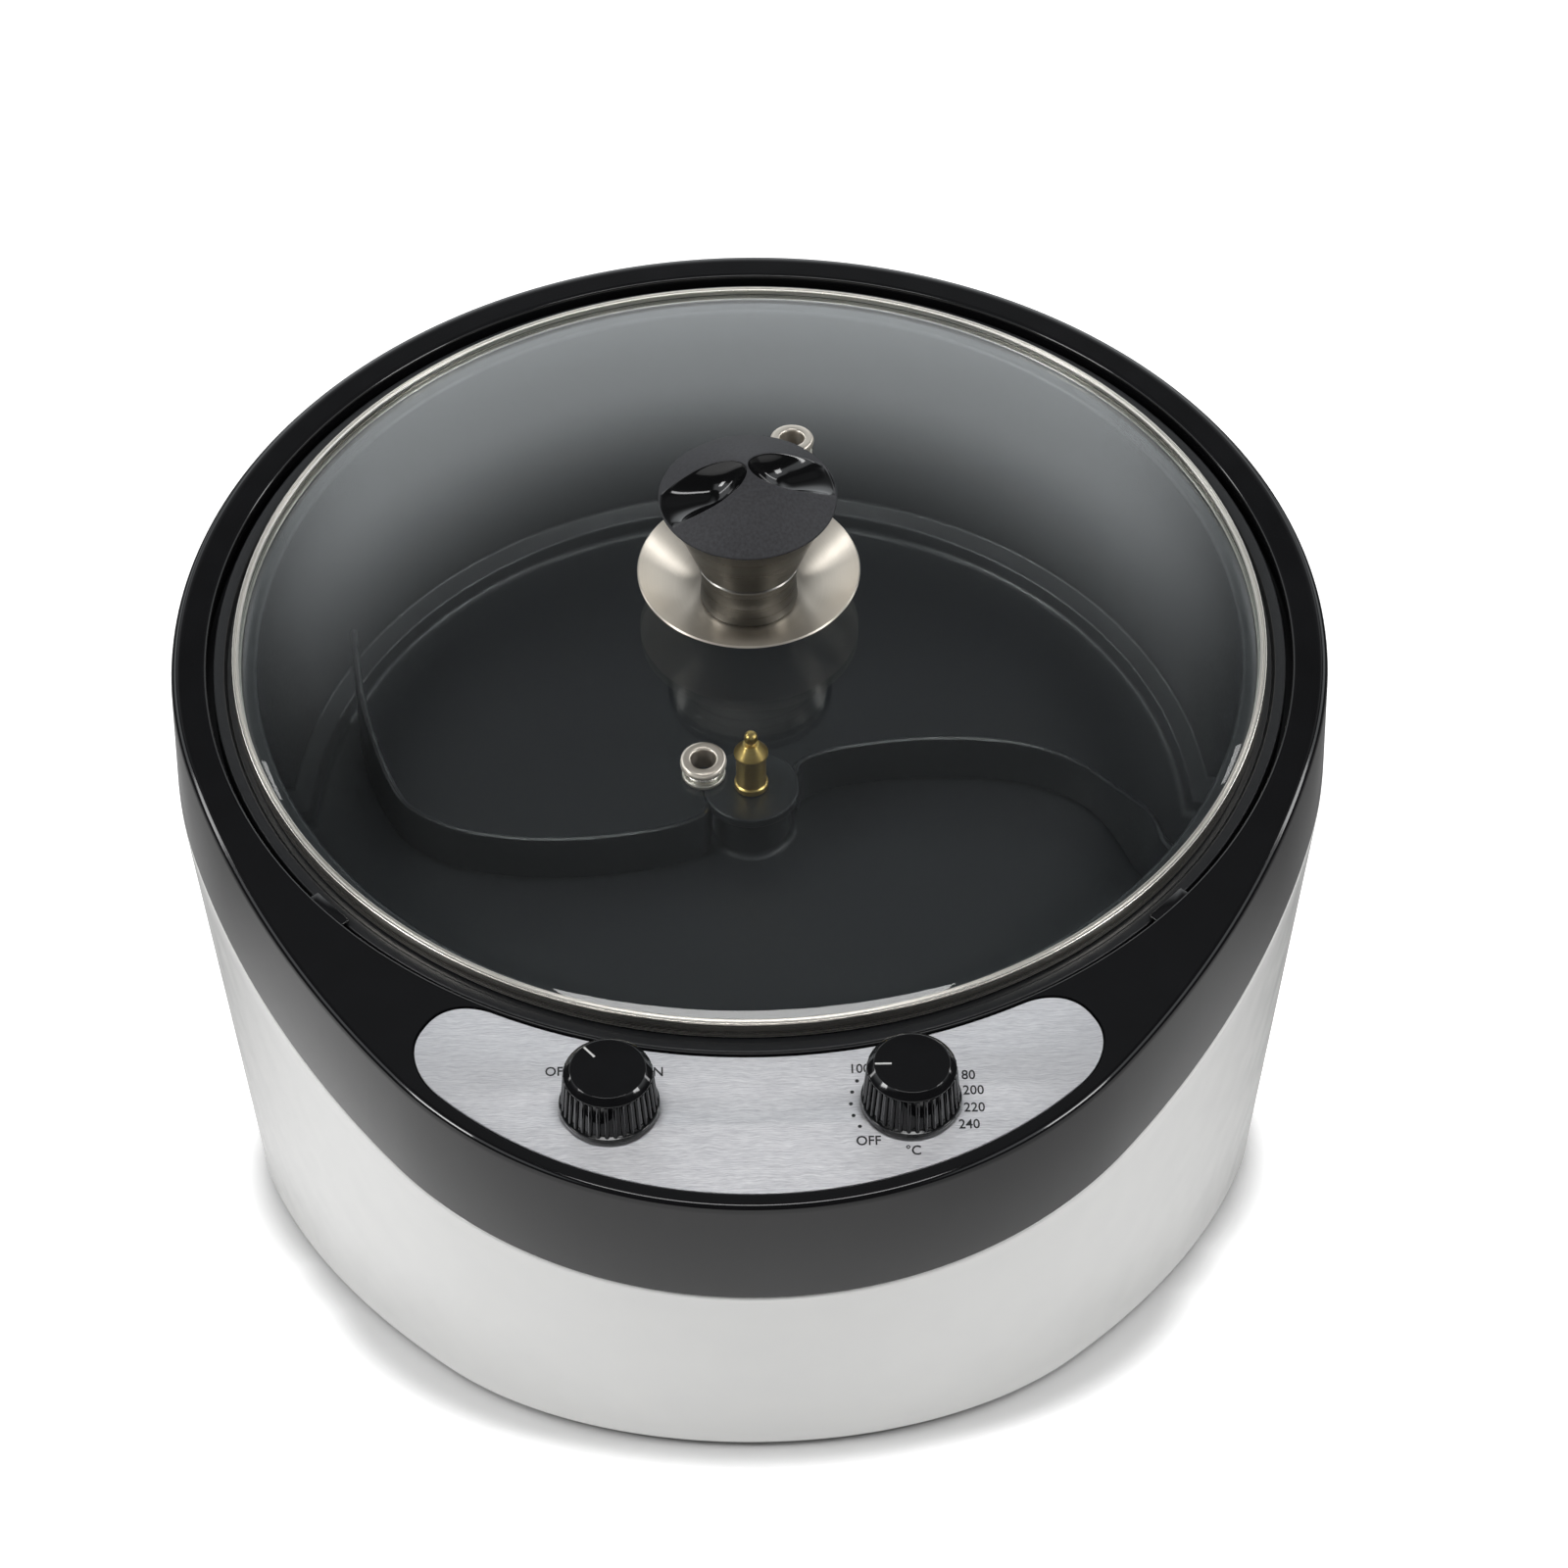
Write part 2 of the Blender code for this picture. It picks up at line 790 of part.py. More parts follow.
def make_control_panel():
    holes = [circle(neck_radius + bolt_gap, small_steps, place) for place in control_places.values()]
    level = -panel_sink - panel_thickness
    plate(
        "control_panel_plate",
        panel_outline(0),
        holes,
        panel_thickness,
        "brushed_panel",
        deck,
        shift(z=level),
    )


# White body shell, from the tongue inside the cover's skirt down to the lip under the base plate
def back_wall_frame():
    """Frame on the back wall's outer face at the inlet's height, its Y pointing straight out."""
    top = deck_matrix @ Vector((0, back_radius + skirt_flare, shell_top_level))
    foot = Vector((0, deck_place.y + base_back_shift + base_back_reach, shell_bottom))
    down = foot - top
    share = (top.z - inlet_height) / (top.z - foot.z)
    lean = math.atan2(down.y, -down.z)
    return Matrix.Translation(top + down * share) @ Matrix.Rotation(lean, 4, "X")


def make_body_shell():
    shoulder_level = shell_top_level - shoulder_depth
    tongue_level = -skirt_depth + tongue_height
    flare_at_tongue = skirt_flare * (skirt_depth - tongue_height) / skirt_depth
    tongue_inset = cover_wall - flare_at_tongue + fit_gap
    tongue_inner = tongue_inset + tongue_thickness
    edge = base_edge_round
    corner = edge * (1 - math.cos(math.pi / 4))
    rings = [
        deck_ring_in_world(tongue_inset, tongue_level),
        deck_ring_in_world(tongue_inset, shell_top_level),
        deck_ring_in_world(bead_inset - skirt_flare, shell_top_level),
        deck_ring_in_world(-skirt_flare, shell_top_level - bead_height),
        base_ring(0, shell_bottom + edge),
        base_ring(corner, shell_bottom + corner),
        base_ring(edge, shell_bottom),
        base_ring(base_lip_width, shell_bottom),
        base_ring(base_lip_width, lip_top),
        base_ring(body_wall, lip_top),
        deck_ring_in_world(body_wall - skirt_flare, shoulder_level - bead_height - body_wall),
        deck_ring_in_world(tongue_inner, shoulder_level),
        deck_ring_in_world(tongue_inner, tongue_level),
    ]
    shell = ring_loft("body_shell", rings, "white_gloss", None)
    back_wall = add_empty("inlet_frame", back_wall_frame())
    boss_width = inlet_flange_size[0] + 2 * inlet_boss_margin
    boss_height = inlet_flange_size[1] + 2 * inlet_boss_margin
    pocket_depth = inlet_flange_sink + inlet_flange_thickness + fit_gap
    boss_back = pocket_depth + inlet_boss_depth
    boss = box(
        "inlet_boss_form",
        (boss_width, boss_back + cut_overrun, boss_height),
        (0, (cut_overrun - boss_back) / 2, 0),
        0,
        None,
        back_wall,
    )
    wall_middle = [
        deck_ring_in_world(boss_skin - skirt_flare, shell_top_level - bead_height),
        base_ring(boss_skin, shell_bottom + edge),
    ]
    combine(boss, ring_loft("inlet_boss_limit", wall_middle, None, None, around=False), "INTERSECT")
    join(shell, boss)
    pocket = box(
        "inlet_pocket_cutter",
        (
            inlet_flange_size[0] + 2 * fit_gap,
            pocket_depth + cut_overrun,
            inlet_flange_size[1] + 2 * fit_gap,
        ),
        (0, (cut_overrun - pocket_depth) / 2, 0),
        0,
        None,
        back_wall,
    )
    cut(shell, pocket)
    passage = box(
        "inlet_passage_cutter",
        (
            inlet_body_size[0] + 2 * fit_gap,
            inlet_body_depth,
            inlet_body_size[1] + 2 * fit_gap,
        ),
        (0, -inlet_body_depth / 2, 0),
        0,
        None,
        back_wall,
    )
    cut(shell, passage)
    for name, place in foot_places().items():
        drill(
            shell,
            f"lip_hole_cutter_{name}",
            screw_radius + fit_gap,
            shell_bottom - cut_overrun,
            lip_top + cut_overrun,
            None,
            place,
            fine_steps,
        )
    return back_wall


# Feet, their screws and the base plate
def foot_places():
    """World plan points of the feet, on the arcs of the foot outline drawn in."""
    line = base_outline(foot_inset)
    back_quarter = back_steps * 11 // 36
    nose_start = back_steps + flank_steps
    nose_quarter = nose_steps * 3 // 16
    indices = {
        "rear_right": back_quarter,
        "rear_left": back_steps - back_quarter,
        "front_left": nose_start + nose_quarter,
        "front_right": nose_start + nose_steps - nose_quarter,
    }
    return {name: (line[i][0], deck_place.y + line[i][1]) for name, i in indices.items()}


def make_feet():
    hole = screw_radius + fit_gap
    top = foot_height
    foot_profile = [
        (foot_radius, top),
        (foot_radius - foot_recess_depth / 3, 0),
        (foot_recess_radius, 0),
        (foot_recess_radius, foot_recess_depth),
        (hole, foot_recess_depth),
        (hole, top),
    ]
    head_top = foot_recess_depth - fit_gap
    screw_top = lip_top + fit_gap + base_plate_thickness + screw_radius
    screw_profile = [
        (0, screw_top),
        (screw_radius, screw_top),
        (screw_radius, head_top),
        (foot_screw_head_radius, head_top),
        (foot_screw_head_radius, head_top - foot_screw_head_height),
        (0, head_top - foot_screw_head_height),
    ]
    for name, place in foot_places().items():
        turned(f"foot_{name}", foot_profile, small_steps, "rubber", None, shift(*place))
        turned(f"foot_screw_{name}", screw_profile, fine_steps, "zinc_sheet", None, shift(*place))


def make_base_plate():
    line = base_outline(base_plate_inset)
    outline = [(x, deck_place.y + y) for x, y in line]
    holes = [circle(screw_radius + fit_gap, fine_steps, place) for place in foot_places().values()]
    for index in range(vent_slot_count):
        y = vent_slots_back + (index - (vent_slot_count - 1) / 2) * vent_slot_pitch
        holes.append(slot(vent_slot_length, vent_slot_width, (0, deck_place.y + y)))
    level = lip_top + fit_gap
    plate("base_plate", outline, holes, base_plate_thickness, "zinc_sheet", None, shift(z=level))
    size_x, size_y, size_z = terminal_size
    x, y = terminal_place
    seat = level + base_plate_thickness + fit_gap
    centre = (x, deck_place.y + y, seat + size_z / 2)
    box("terminal_block", (size_x, size_y, size_z), centre, terminal_round, "ceramic", None)


# Pot, gasket and heat shield
def make_pot():
    rim = pot_rim_radius
    seat_radius = lid_radius + pot_edge_gap
    step = lid_seat_drop - pot_flange_drop
    wall_top = pot_mouth_radius + pot_sheet
    ledge_outer = pot_wall_foot_radius + pot_sheet
    profile = [
        (seat_radius + step / 2, -pot_flange_drop),
        (rim, -pot_flange_drop),
        (rim, pot_flange_level),
        (wall_top, pot_flange_level),
        (ledge_outer, -pot_ledge_depth - pot_sheet),
        (pot_ledge_inner_radius + pot_sheet, -pot_ledge_depth - 2 * pot_sheet),
        (pot_ledge_inner_radius + pot_sheet, pot_under_level),
        (bush_hole_radius, pot_under_level),
        (bush_hole_radius, hub_boss_level),
        (hub_boss_radius, hub_boss_level),
        (hub_boss_radius, pot_floor_level),
        (pot_floor_radius, pot_floor_level),
        (pot_ledge_inner_radius, -pot_ledge_depth - pot_sheet),
        (pot_wall_foot_radius - pot_mouth_round, -pot_ledge_depth),
        (pot_wall_foot_radius, -pot_ledge_depth + pot_mouth_round),
        (pot_mouth_radius, -lid_seat_drop - pot_mouth_round),
        (pot_mouth_radius + pot_mouth_round, -lid_seat_drop),
        (seat_radius, -lid_seat_drop),
    ]
    turned("roasting_pot", profile, large_steps, "pot_coating", deck)
    outer = rim - gasket_inset
    gasket_top = gasket_level + gasket_thickness
    gasket_profile = [
        (outer, gasket_top),
        (outer, gasket_level),
        (outer - gasket_width, gasket_level),
        (outer - gasket_width, gasket_top),
    ]
    turned("pot_gasket", gasket_profile, large_steps, "rubber", deck)


def make_heat_shield():
    wall_top = pot_mouth_radius + pot_sheet + shield_air_gap
    rim = wall_top + shield_flange_width
    flange_bottom = shield_top_level - shield_sheet
    profile = [
        (rim, shield_top_level),
        (rim, flange_bottom),
        (wall_top + shield_sheet, flange_bottom),
        (shield_foot_radius + shield_sheet, shield_under_level),
        (shield_centre_hole_radius, shield_under_level),
        (shield_centre_hole_radius, shield_floor_level),
        (shield_foot_radius, shield_floor_level),
        (wall_top, shield_top_level),
    ]
    shield = turned("heat_shield", profile, large_steps, "zinc_sheet", deck)
    floor_cut = (shield_under_level - cut_overrun, shield_floor_level + cut_overrun)
    head_top = flange_bottom - fit_gap
    head_bottom = head_top - shield_screw_head_height
    tip = ledge_level - ledge_thickness + shield_screw_length - fit_gap
    screw_profile = [
        (0, tip),
        (screw_radius, tip),
        (screw_radius, head_top),
        (shield_screw_head_radius, head_top),
        (shield_screw_head_radius, head_bottom),
        (0, head_bottom),
    ]
    for index, angle in enumerate(shield_screw_angles_deg):
        place = polar(shield_screw_offset, angle)
        drill(
            shield,
            f"shield_hole_cutter_{index + 1}",
            screw_radius + bolt_gap,
            flange_bottom - cut_overrun,
            shield_top_level + cut_overrun,
            deck,
            place,
            fine_steps,
        )
        name = f"shield_screw_{index + 1}"
        turned(name, screw_profile, fine_steps, "zinc_sheet", deck, shift(*place))
    for index, side in enumerate((-1, 1)):
        place = polar(element_radius, -90 + side * element_gap_angle_deg)
        hole = element_tube_radius + element_leg_clearance
        drill(shield, f"element_hole_cutter_{index + 1}", hole, *floor_cut, deck, place, fine_steps)
    place = polar(capillary_hole_offset, capillary_hole_angle_deg)
    drill(shield, "capillary_hole_cutter", capillary_hole_radius, *floor_cut, deck, place, fine_steps)
    for index, side in enumerate((-1, 1)):
        place = (side * motor_screw_offset, 0)
        hole = motor_screw_radius + bolt_gap
        drill(shield, f"motor_hole_cutter_{index + 1}", hole, *floor_cut, deck, place, fine_steps)


# Heating element, its supports, thermal cut-out and thermostat sensor
def make_heating_element():
    points = []
    ring_steps = 22
    bend_steps = 3
    bend_angle = math.degrees(element_leg_bend / element_radius)
    start = -90 + element_gap_angle_deg
    for step in range(-1, bend_steps):
        turn = math.pi / 2 * max(step, 0) / bend_steps
        angle = start + bend_angle * (1 - math.cos(turn))
        level = element_level - element_leg_bend * (1 - math.sin(turn))
        if step < 0:
            level -= element_leg_length
        points.append(Vector((*polar(element_radius, angle), level)))
    first = start + bend_angle
    sweep = 360 - 2 * (element_gap_angle_deg + bend_angle)
    for step in range(ring_steps + 1):
        points.append(Vector((*polar(element_radius, first + sweep * step / ring_steps), element_level)))
    mirrored = [Vector((-point.x, point.y, point.z)) for point in points[bend_steps::-1]]
    points.extend(mirrored)
    tube("heating_element", points, [element_tube_radius] * len(points), "dark_steel", deck)


def make_element_supports():
    bottom = shield_floor_level + fit_gap
    top = element_level - element_tube_radius - fit_gap
    for index, angle in enumerate(support_angles_deg):
        turn = Matrix.Rotation(math.radians(angle), 4, "Z")
        size = (support_width, support_length, top - bottom)
        centre = (element_radius, 0, (top + bottom) / 2)
        box(f"element_support_{index + 1}", size, centre, 0, "ceramic", deck, turn)


def make_thermal_cutout():
    top = pot_under_level - fit_gap
    profile = [
        (0, top),
        (cutout_radius, top),
        (cutout_radius, top - cutout_height / 3),
        (cutout_radius * 3 / 4, top - cutout_height / 3),
        (cutout_radius * 3 / 4, top - cutout_height),
        (0, top - cutout_height),
    ]
    turned("thermal_cutout", profile, small_steps, "ceramic", deck, shift(-cutout_offset, 0))


def make_thermostat_sensor():
    """Sensing bulb under the pot's floor and its capillary, which runs down and out to the thermostat."""
    bulb_level = pot_under_level - fit_gap - bulb_radius
    body_bottom = -deck_thickness - fit_gap - thermostat_size[2]
    bulb_points = []
    bulb_steps = 6
    for step in range(bulb_steps + 1):
        angle = bulb_start_deg + (bulb_end_deg - bulb_start_deg) * step / bulb_steps
        bulb_points.append(Vector((*polar(bulb_offset, angle), bulb_level)))
    hole_x, hole_y = polar(capillary_hole_offset, capillary_hole_angle_deg)
    low_level = shield_under_level - capillary_drop
    outside = -(shield_foot_radius + capillary_drop * 2)
    neck_angle = (bulb_end_deg + capillary_hole_angle_deg) / 2
    neck_offset = (bulb_offset + capillary_hole_offset) / 2
    route = [
        Vector((*polar(neck_offset, neck_angle), bulb_level)),
        Vector((hole_x, hole_y, (bulb_level + shield_floor_level) / 2)),
        Vector((hole_x, hole_y, shield_under_level - capillary_hole_radius)),
        Vector((hole_x, hole_y - capillary_drop, low_level)),
        Vector(((hole_x + control_spread) / 2, (hole_y + outside) / 2, low_level)),
        Vector((control_spread, outside, low_level)),
        Vector((control_spread, (outside + control_back) / 2, (low_level + body_bottom) / 2)),
        Vector((control_spread, control_back, body_bottom - fit_gap)),
    ]
    capillary = smooth_path(route, 22)
    points = bulb_points + capillary
    radii = [bulb_radius] * len(bulb_points) + [capillary_radius] * len(capillary)
    tube("thermostat_sensor", points, radii, "copper", deck)


# Power switch, thermostat and their knobs
def make_control(side, size, body_finish, axis):
    """Body under the deck, its threaded neck and hex nut, and the shaft that carries the knob."""
    place = control_places[side]
    names = {"power": "power_switch", "temperature": "thermostat"}
    label = names[side]
    width, depth, height = size
    top = -deck_thickness - fit_gap
    spot = shift(*place)
    centre = (0, 0, top - height / 2)
    body = box(f"{label}_body", size, centre, control_body_round, body_finish, deck, spot)
    neck_bottom = top - height / 2
    neck_name = f"{label}_neck_form"
    neck = cylinder(neck_name, neck_radius, neck_bottom, neck_height, small_steps, None, deck, spot)
    join(body, neck)
    bore = shaft_radius + running_gap
    bore_bottom = neck_height - shaft_engagement - fit_gap
    drill(body, f"{label}_bore_cutter", bore, bore_bottom, neck_height + cut_overrun, deck, place)
    corner = nut_across_flats / 2 / math.cos(math.pi / 6)
    nut_level = -panel_sink + fit_gap
    bore_circle = circle(neck_radius + bolt_gap, small_steps)
    nut_spot = spot @ shift(z=nut_level)
    plate(f"{label}_nut", circle(corner, 6), [bore_circle], nut_thickness, "zinc_sheet", deck, nut_spot)
    shaft_top = knob_foot_lift + knob_bore_depth - fit_gap
    shaft_bottom = neck_height - shaft_engagement
    cylinder(f"{label}_shaft", shaft_radius, shaft_bottom, shaft_top, small_steps, "dark_steel", axis)


def fluted_ring(radius, level, flute_depth):
    """Ring whose points stand in and out in turn, two to a flute."""
    ring = []
    count = 2 * knob_flute_count
    for index in range(count):
        angle = 2 * math.pi * index / count
        reach = radius - (flute_depth if index % 2 else 0)
        ring.append(Vector((reach * math.cos(angle), reach * math.sin(angle), level)))
    return ring


def make_knob(name, axis):
    """Fluted control knob with a pointer slot at its local +X and a blind bore for the shaft."""
    foot = knob_foot_lift
    flange_top = foot + knob_flange_height
    skirt_top = foot + knob_skirt_height
    top = foot + knob_height
    bevel = knob_flute_depth
    bore = shaft_radius + fit_gap
    rings = [
        fluted_ring(knob_top_radius - bevel, top, 0),
        fluted_ring(knob_top_radius, top - bevel, 0),
        fluted_ring(knob_collar_radius, skirt_top + bevel, 0),
        fluted_ring(knob_skirt_top_radius, skirt_top, knob_flute_depth),
        fluted_ring(knob_skirt_radius, flange_top + bevel, knob_flute_depth),
        fluted_ring(knob_flange_radius, flange_top, 0),
        fluted_ring(knob_flange_radius, foot, 0),
        fluted_ring(knob_cavity_radius, foot, 0),
        fluted_ring(knob_cavity_radius, foot + knob_cavity_depth, 0),
        fluted_ring(bore, foot + knob_cavity_depth, 0),
        fluted_ring(bore, foot + knob_bore_depth, 0),
    ]
    knob = ring_loft(name, rings, "knob_black", axis, around=False)
    middle = knob_top_radius - pointer_margin - pointer_length / 2
    pointer = box(
        f"{name}_pointer_cutter",
        (pointer_length, pointer_width, 2 * pointer_depth),
        (middle, 0, top),
        0,
        None,
        axis,
    )
    cut(knob, pointer)


# Drive: bush and seal in the pot's boss, coupling, gearbox and motor
def make_drive():
    bush_top = hub_boss_level - seal_height - 2 * fit_gap
    flange_bottom = bush_flange_level - bush_flange_thickness
    bush_profile = [
        (bush_radius, bush_top),
        (bush_radius, bush_flange_level),
        (bush_flange_radius, bush_flange_level),
        (bush_flange_radius, flange_bottom),
        (bush_bore_radius, flange_bottom),
        (bush_bore_radius, bush_top),
    ]
    turned("spindle_bush", bush_profile, small_steps, "brass", deck)
    seal_profile = [
        (bush_radius, hub_boss_level - fit_gap),
        (bush_radius, hub_boss_level - fit_gap - seal_height),
        (bush_bore_radius, hub_boss_level - fit_gap - seal_height),
        (bush_bore_radius, hub_boss_level - fit_gap),
    ]
    turned("shaft_seal", seal_profile, small_steps, "rubber", deck)
    screw_holes = [
        circle(motor_screw_radius + bolt_gap, fine_steps, (side * motor_screw_offset, 0)) for side in (-1, 1)
    ]
    plate(
        "motor_bracket",
        slot(bracket_length, bracket_width, (0, 0), 6),
        [circle(bracket_hole_radius, small_steps), *screw_holes],
        bracket_thickness,
        "zinc_sheet",
        deck,
        shift(z=bracket_level - bracket_thickness),
    )
    gearbox = cylinder(
        "gearbox_housing",
        gearbox_radius,
        gearbox_level - gearbox_height,
        gearbox_level,
        medium_steps,
        "zinc_sheet",
        deck,
    )
    ears = plate(
        "gearbox_ears_form",
        slot(gearbox_ear_length, gearbox_ear_width, (0, 0), 4),
        (),
        gearbox_ear_thickness,
        None,
        deck,
        shift(z=gearbox_level - gearbox_ear_thickness),
    )
    join(gearbox, ears)
    shaft_bore = output_shaft_radius + running_gap
    bore_bottom = gearbox_level - output_shaft_depth - fit_gap
    drill(gearbox, "gearbox_bore_cutter", shaft_bore, bore_bottom, gearbox_level + cut_overrun, deck, (0, 0))
    ear_bottom = gearbox_level - gearbox_ear_thickness
    for index, side in enumerate((-1, 1)):
        place = (side * motor_screw_offset, 0)
        hole = motor_screw_radius + bolt_gap
        name = f"ear_hole_cutter_{index + 1}"
        ear_cut = (ear_bottom - cut_overrun, gearbox_level + cut_overrun)
        drill(gearbox, name, hole, *ear_cut, deck, place, fine_steps)
        head_bottom = shield_floor_level + fit_gap
        screw_profile = [
            (0, head_bottom + motor_screw_head_height),
            (motor_screw_head_radius, head_bottom + motor_screw_head_height),
            (motor_screw_head_radius, head_bottom),
            (motor_screw_radius, head_bottom),
            (motor_screw_radius, ear_bottom - motor_screw_tail),
            (0, ear_bottom - motor_screw_tail),
        ]
        turned(f"motor_screw_{index + 1}", screw_profile, fine_steps, "zinc_sheet", deck, shift(*place))
    motor_top = gearbox_level - gearbox_height - fit_gap
    motor_bottom = motor_top - motor_height
    cylinder("motor_can", motor_radius, motor_bottom, motor_top, medium_steps, "zinc_sheet", deck)


def make_stirrer():
    """Output shaft, coupling, spindle, S blade and its brass nut, all turning together."""
    coupling_bottom = gearbox_level + fit_gap
    web_level = (coupling_bottom + coupling_top_level) / 2
    lower_bore = output_shaft_radius + fit_gap
    upper_bore = spindle_radius + fit_gap
    coupling_profile = [
        (0, web_level + coupling_web / 2),
        (upper_bore, web_level + coupling_web / 2),
        (upper_bore, coupling_top_level),
        (coupling_radius, coupling_top_level),
        (coupling_radius, coupling_bottom),
        (lower_bore, coupling_bottom),
        (lower_bore, web_level - coupling_web / 2),
        (0, web_level - coupling_web / 2),
    ]
    turned("shaft_coupling", coupling_profile, small_steps, "dark_steel", stirrer_axis)
    shaft_top = web_level - coupling_web / 2 - fit_gap
    shaft_bottom = gearbox_level - output_shaft_depth
    cylinder(
        "output_shaft", output_shaft_radius, shaft_bottom, shaft_top, small_steps, "satin_steel", stirrer_axis
    )
    shoulder = hub_plate_level - fit_gap
    plate_top = hub_plate_level + hub_plate_thickness
    nut_bottom = plate_top + fit_gap
    stud_top = nut_bottom + nut_ring_height + nut_barrel_height
    spindle_bottom = web_level + coupling_web / 2 + fit_gap
    spindle_profile = [
        (0, stud_top),
        (spindle_stud_radius, stud_top),
        (spindle_stud_radius, shoulder),
        (spindle_radius, shoulder),
        (spindle_radius, spindle_bottom),
        (0, spindle_bottom),
    ]
    turned("stirrer_spindle", spindle_profile, small_steps, "satin_steel", stirrer_axis)
    stud_hole = spindle_stud_radius + fit_gap
    blade_profile = [
        (hub_plate_radius, plate_top),
        (hub_plate_radius, hub_plate_level),
        (stud_hole, hub_plate_level),
        (stud_hole, plate_top),
    ]
    blade = turned("stirrer_blade", blade_profile, small_steps, "pot_coating", stirrer_axis)
    for side in ("right", "left"):
        join(blade, blade_arm(f"blade_arm_form_{side}", side))
    barrel_top = nut_bottom + nut_ring_height + nut_barrel_height
    cone_bottom = barrel_top + nut_cone_lift
    cone_top = cone_bottom + nut_cone_height
    tip_top = cone_top + nut_tip_height
    nut_profile = [
        (0, tip_top),
        (nut_tip_radius, tip_top),
        (nut_tip_radius, cone_top),
        (nut_cone_radius, cone_bottom),
        (nut_barrel_radius, barrel_top),
        (nut_barrel_radius, nut_bottom + nut_ring_height),
        (nut_ring_radius, nut_bottom + nut_ring_height),
        (nut_ring_radius, nut_bottom),
        (stud_hole, nut_bottom),
        (stud_hole, stud_top + fit_gap),
        (0, stud_top + fit_gap),
    ]
    turned("stirrer_nut", nut_profile, small_steps, "brass", stirrer_axis)


def blade_arm(name, side):
    """One arm of the S: an upright strip along a curve, whose top rises towards its tip."""
    turn = 1 if side == "right" else -1
    route = [Vector(blade_root_shares) * hub_plate_radius * turn]
    route.extend(Vector((u, v)) * blade_reach * turn for u, v in blade_path_shares)
    path = smooth_path(route, blade_steps)
    bottom = pot_floor_level + blade_floor_gap
    low_top = hub_plate_level + hub_plate_thickness - blade_top_drop
    rings = []
    for index, point in enumerate(path):
        before = path[max(index - 1, 0)]
        after = path[min(index + 1, len(path) - 1)]
        along = (after - before).normalized()
        across = Vector((-along.y, along.x)) * blade_thickness / 2
        share = index / blade_steps
        rise = max(0, share - blade_rise_start_share) / (1 - blade_rise_start_share)
        top = low_top + blade_tip_rise * rise**2 * (3 - 2 * rise)
        near, far = point - across, point + across
        rings.append(
            [
                Vector((near.x, near.y, bottom)),
                Vector((far.x, far.y, bottom)),
                Vector((far.x, far.y, top)),
                Vector((near.x, near.y, top)),
            ]
        )
    return ring_loft(name, rings, None, stirrer_axis, around=False)


# Lid: glass, rim band, vents and knob
def glass_level(radius):
    """Level of the glass's top face at a distance from its centre."""
    edge = lid_radius - band_wall - fit_gap
    return glass_edge_level + glass_rise * (1 - (radius / edge) ** 3)


def make_lid_glass():
    edge = lid_radius - band_wall - fit_gap
    rings_out = 5
    radii = [edge * step / rings_out for step in range(1, rings_out + 1)]
    hole = knob_screw_radius + bolt_gap
    top = [(hole, glass_level(hole))] + [(radius, glass_level(radius)) for radius in radii]
    under = [(radius, level - glass_thickness) for radius, level in reversed(top)]
    glass = turned("lid_glass", top + under, large_steps, "glass", lid_axis)
    tube_hole = vent_tube_radius + fit_gap
    vents = {"lid_vent_rear": vent_angle_deg, "lid_vent_front": vent_angle_deg + 180}
    slope = math.atan(3 * glass_rise * vent_offset**2 / edge**3)
    for name, angle in vents.items():
        lean = Matrix.Rotation(math.radians(angle), 4, "Z") @ shift(x=vent_offset, z=glass_level(vent_offset))
        spot = lean @ Matrix.Rotation(slope, 4, "Y")
        reach = glass_thickness + cut_overrun
        vent_hole = cylinder(
            f"{name}_cutter", tube_hole, -reach, cut_overrun, fine_steps, None, lid_axis, spot
        )
        cut(glass, vent_hole)
        make_vent(name, spot)
    band_top = glass_edge_level + fit_gap
    band_inner = lid_radius - band_lip_width
    band_profile = [
        (lid_radius - band_lip_thickness, band_top + band_lip_thickness),
        (lid_radius, band_top),
        (lid_radius, band_bottom_level + band_lip_thickness),
        (lid_radius - band_lip_thickness, band_bottom_level),
        (band_inner, band_bottom_level),
        (band_inner, band_bottom_level + band_lip_thickness),
        (lid_radius - band_wall, band_bottom_level + band_lip_thickness),
        (lid_radius - band_wall, band_top + glass_slope_rise()),
        (band_inner, band_top + glass_slope_rise()),
        (band_inner, band_top + glass_slope_rise() + band_lip_thickness),
    ]
    turned("lid_rim_band", band_profile, large_steps, "satin_steel", lid_axis)


def glass_slope_rise():
    """How much higher the glass stands at the band's inner lip than at its own edge."""
    return glass_level(lid_radius - band_lip_width) - glass_edge_level


def make_vent(name, spot):
    """Spool-shaped steel eyelet, clear of the glass on both sides."""
    top = fit_gap + vent_flange_height
    bottom = -glass_thickness - fit_gap
    round_off = vent_flange_height / 3
    profile = [
        (vent_hole_radius + round_off, top),
        (vent_flange_radius - round_off, top),
        (vent_flange_radius, top - round_off),
        (vent_flange_radius - round_off, fit_gap),
        (vent_tube_radius, fit_gap),
        (vent_tube_radius, bottom),
        (vent_lower_flange_radius, bottom),
        (vent_lower_flange_radius, bottom - vent_lower_flange_height),
        (vent_hole_radius, bottom - vent_lower_flange_height),
        (vent_hole_radius, top - round_off),
    ]
    turned(name, profile, small_steps, "satin_steel", lid_axis, spot)


